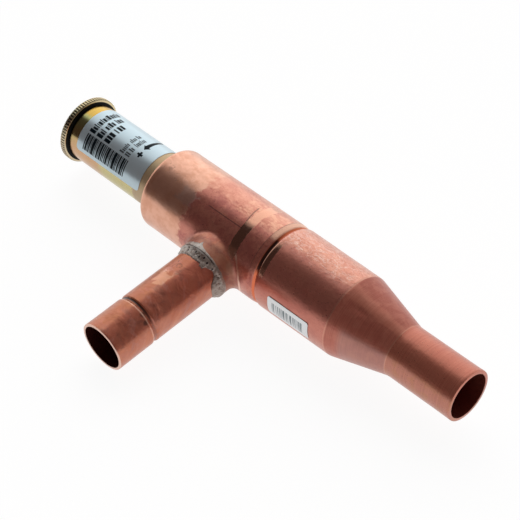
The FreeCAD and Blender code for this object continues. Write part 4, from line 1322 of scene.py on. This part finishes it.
class VALVE_OT_stage(bpy.types.Operator):
    """Table, soft daylight and the camera"""
    bl_idname = "valve.stage"
    bl_label = "Stage"

    def execute(self, context):
        settings = context.scene.valve_stage
        up = Vector((0, math.sin(LEAN), math.cos(LEAN)))
        half = settings.floor_size / 2
        turn = Matrix.Rotation(-LEAN, 4, "X")
        centre = Vector((CROSSING * MM, 0, 0)) - up * (BODY_R + TABLE_GAP) * MM
        corners = [centre + turn @ Vector((x * half, y * half, 0))
                   for x, y in ((-1, -1), (1, -1), (1, 1), (-1, 1))]
        mesh = bpy.data.meshes.new("table")
        mesh.from_pydata(corners, [], [(0, 1, 2, 3)])
        table = bpy.data.objects.new("table", mesh)
        context.scene.collection.objects.link(table)
        mesh.materials.append(table_finish(tuple(settings.floor)))
        daylight(context)
        soft = bpy.data.lights.new("soft_daylight", "SUN")
        soft.energy = 1.0
        soft.angle = math.radians(60)
        lamp = bpy.data.objects.new("soft_daylight", soft)
        lamp.rotation_euler = Vector(LAMP_DIRECTION).to_track_quat("Z", "Y").to_euler()
        lamp.visible_glossy = False
        context.scene.collection.objects.link(lamp)
        camera = bpy.data.cameras.new("camera")
        camera.lens = settings.lens
        camera.sensor_width = 36.0
        camera.clip_start, camera.clip_end = 0.01, 10.0
        stand = bpy.data.objects.new("camera", camera)
        stand.location = CAMERA_PLACE
        stand.rotation_euler = [math.radians(a) for a in CAMERA_DEGREES]
        context.scene.collection.objects.link(stand)
        context.scene.camera = stand
        context.scene.view_settings.view_transform = "Standard"
        return {"FINISHED"}


def table_finish(white):
    """White table that stays white behind the object and keeps its shadow."""
    material = bpy.data.materials.new("white_table")
    material.use_nodes = True
    n = Nodes(material.node_tree)
    n.tree.nodes.clear()
    paper = n.add("BsdfDiffuse", {"Color": white}).outputs[0]
    glow = n.add("Emission", {"Color": (1, 1, 1), "Strength": TABLE_GLOW}).outputs[0]
    rays = n.add("LightPath").outputs
    mirrored = n.times(n.most(rays["Is Glossy Ray"], rays["Is Transmission Ray"]), 0.7)
    share = n.most(n.times(rays["Is Camera Ray"], 0.86), mirrored, 0.5)
    mixed = n.add("MixShader", (share, paper, glow)).outputs[0]
    n.add("OutputMaterial", {"Surface": mixed})
    return material


def daylight(context):
    """Light tent: bright behind and to the left, dark on the side that faces the camera."""
    world = bpy.data.worlds.new("light_tent")
    context.scene.world = world
    world.use_nodes = True
    n = Nodes(world.node_tree)
    direction = n.add("TexCoord").outputs["Generated"]
    dark_side = tuple(Vector(TENT_DIRECTION).normalized())
    facing = n.add("VectorMath", (direction, dark_side), operation="DOT_PRODUCT")
    facing = facing.outputs["Value"]
    x, _, z = n.parts(direction)[:3]
    bright = n.times(n.line(facing, -0.85, -0.2, 1.32, 0.95), n.step(x, -0.55, -0.12, 1.0, 0.5))
    dark = n.times(n.step(facing, -0.09, 0.10), n.step(z, -0.02, 0.06))
    dim = n.mix(n.step(x, -0.38, -0.05), (0.066, 0.047, 0.044), (0.12, 0.09, 0.085))
    level = n.mix(dark, n.combine(bright, bright, bright), dim)
    seen = n.add("LightPath").outputs["Is Camera Ray"]
    colour = n.mix(seen, level, (1.0, 1.0, 1.0))
    n.plug(n.tree.nodes["Background"].inputs["Color"], colour)


def finished(name, mesh, body, node, material):
    """Makes a piece from its mesh, closes it, and gives it its finish."""
    piece = make_piece(name, *mesh, body, (node,))
    closed_up(piece)
    piece.data.materials.append(material)
    return piece


def flexible(name, mesh, node, material):
    """Makes a finished piece that rides on no body, with its place put into its mesh."""
    piece = finished(name, mesh, None, node, material)
    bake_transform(piece)


class VALVE_OT_body(bpy.types.Operator):
    """Drawn copper body with its groove, neck, cone and outlet"""
    bl_idname = "valve.body"
    bl_label = "Copper body"

    def execute(self, context):
        settings = context.scene.valve_body
        finished("copper_body", body_mesh(settings.dents), "valve", "valve_body",
                 copper_body_finish(settings))
        return {"FINISHED"}


class VALVE_OT_inlet(bpy.types.Operator):
    """Inlet tube and the braze round its joint"""
    bl_idname = "valve.inlet"
    bl_label = "Inlet"

    def execute(self, context):
        settings = context.scene.valve_inlet
        finished("inlet_pipe", tube_mesh(), "valve", "inlet_tube", inlet_finish(settings))
        finished("braze_bead", braze_mesh(), "valve", "inlet_braze", braze_finish(settings))
        return {"FINISHED"}


class VALVE_OT_cap(bpy.types.Operator):
    """Knurled brass cap and its gasket"""
    bl_idname = "valve.cap"
    bl_label = "Cap"

    def execute(self, context):
        settings = context.scene.valve_cap
        plain_rim = GASKET_LOW.x - CROSSING - 0.1
        finished("cap_flange", flange_mesh(settings.teeth, settings.tooth / MM), "cap",
                 "protective_cap", brass_finish("knurled_brass", settings.brass, CAP_R - 0.14,
                                                plain_rim))
        finished("cap_spigot", spigot_mesh(), "cap", "protective_cap",
                 brass_finish("cap_brass", settings.brass))
        finished("gasket_ring", gasket_mesh(), "gasket", "cap_gasket",
                 rubber_finish(tuple(settings.rubber)))
        return {"FINISHED"}


class VALVE_OT_flexible(bpy.types.Operator):
    """Main spring and bellows, which give way as the screw and the spindle move"""
    bl_idname = "valve.flexible"
    bl_label = "Spring and bellows"

    def execute(self, context):
        settings = context.scene.valve_flexible
        wire = plain_metal("spring_wire", tuple(settings.wire), 0.36)
        flexible("spring_upper", spring_mesh(settings.turns, 0, SPRING_SPLIT), "main_spring",
                 wire)
        flexible("spring_lower", spring_mesh(settings.turns, SPRING_SPLIT, 1), "main_spring",
                 wire)
        bronze = plain_metal("thin_bronze", tuple(settings.bronze), 0.3)
        flexible("bellows_folds", bellows_mesh(settings.folds), "bellows", bronze)
        return {"FINISHED"}


class VALVE_OT_solids(bpy.types.Operator):
    """Finishes of the pieces that keep their CAD solids"""
    bl_idname = "valve.solids"
    bl_label = "Solids' finishes"

    def execute(self, context):
        settings = context.scene.valve_solids
        brass = plain_metal("turned_brass", tuple(settings.brass), 0.25)
        steel = plain_metal("turned_steel", tuple(settings.steel), 0.3)
        clip = plain_metal("clip_steel", tuple(c * 0.6 for c in settings.steel), 0.36)
        solder = plain_metal("dull_solder", (0.34, 0.22, 0.10), 0.5)
        paint("spring_housing", brass_finish("housing_brass", context.scene.valve_cap.brass))
        paint("setting_screw", plain_metal("threaded_brass", tuple(settings.brass), 0.25, 8.7))
        for node in ("bellows_end_cap", "valve_seat", "valve_plate", "damper_piston",
                     "damper_cylinder"):
            paint(node, brass)
        for node in ("spring_plate", "spring_foot", "spindle", "valve_nut"):
            paint(node, steel)
        paint("piston_clip", clip)
        paint("housing_braze", solder)
        paint("piston_ring", ring_plastic())
        paint("rating_label", rating_label_finish(settings))
        paint("small_label", small_label_finish(tuple(settings.small_film)))
        return {"FINISHED"}


class VALVE_PT_panel(bpy.types.Panel):
    bl_label = "Hot gas bypass valve"
    bl_idname = "VALVE_PT_panel"
    bl_space_type = "VIEW_3D"
    bl_region_type = "UI"
    bl_category = "Valve"

    def draw(self, context):
        for operator in STEPS:
            self.layout.operator(operator.bl_idname)
            settings = getattr(context.scene, operator.bl_idname.replace(".", "_"))
            for name in settings.__annotations__:
                self.layout.prop(settings, name)


STEPS = (VALVE_OT_body, VALVE_OT_inlet, VALVE_OT_cap, VALVE_OT_flexible, VALVE_OT_solids,
         VALVE_OT_stage)
GROUPS = {"valve_body": ValveBody, "valve_inlet": ValveInlet, "valve_cap": ValveCap,
          "valve_flexible": ValveFlexible, "valve_solids": ValveSolids,
          "valve_stage": ValveStage}
CLASSES = tuple(GROUPS.values()) + STEPS + (VALVE_PT_panel,)


def register():
    for item in CLASSES:
        bpy.utils.register_class(item)
    for name, group in GROUPS.items():
        setattr(bpy.types.Scene, name, bpy.props.PointerProperty(type=group))


def unregister():
    for name in GROUPS:
        delattr(bpy.types.Scene, name)
    for item in reversed(CLASSES):
        bpy.utils.unregister_class(item)


def main():
    register()
    for operator in STEPS:
        area, name = operator.bl_idname.split(".")
        getattr(getattr(bpy.ops, area), name)()


if __name__ == "__main__":
    main()
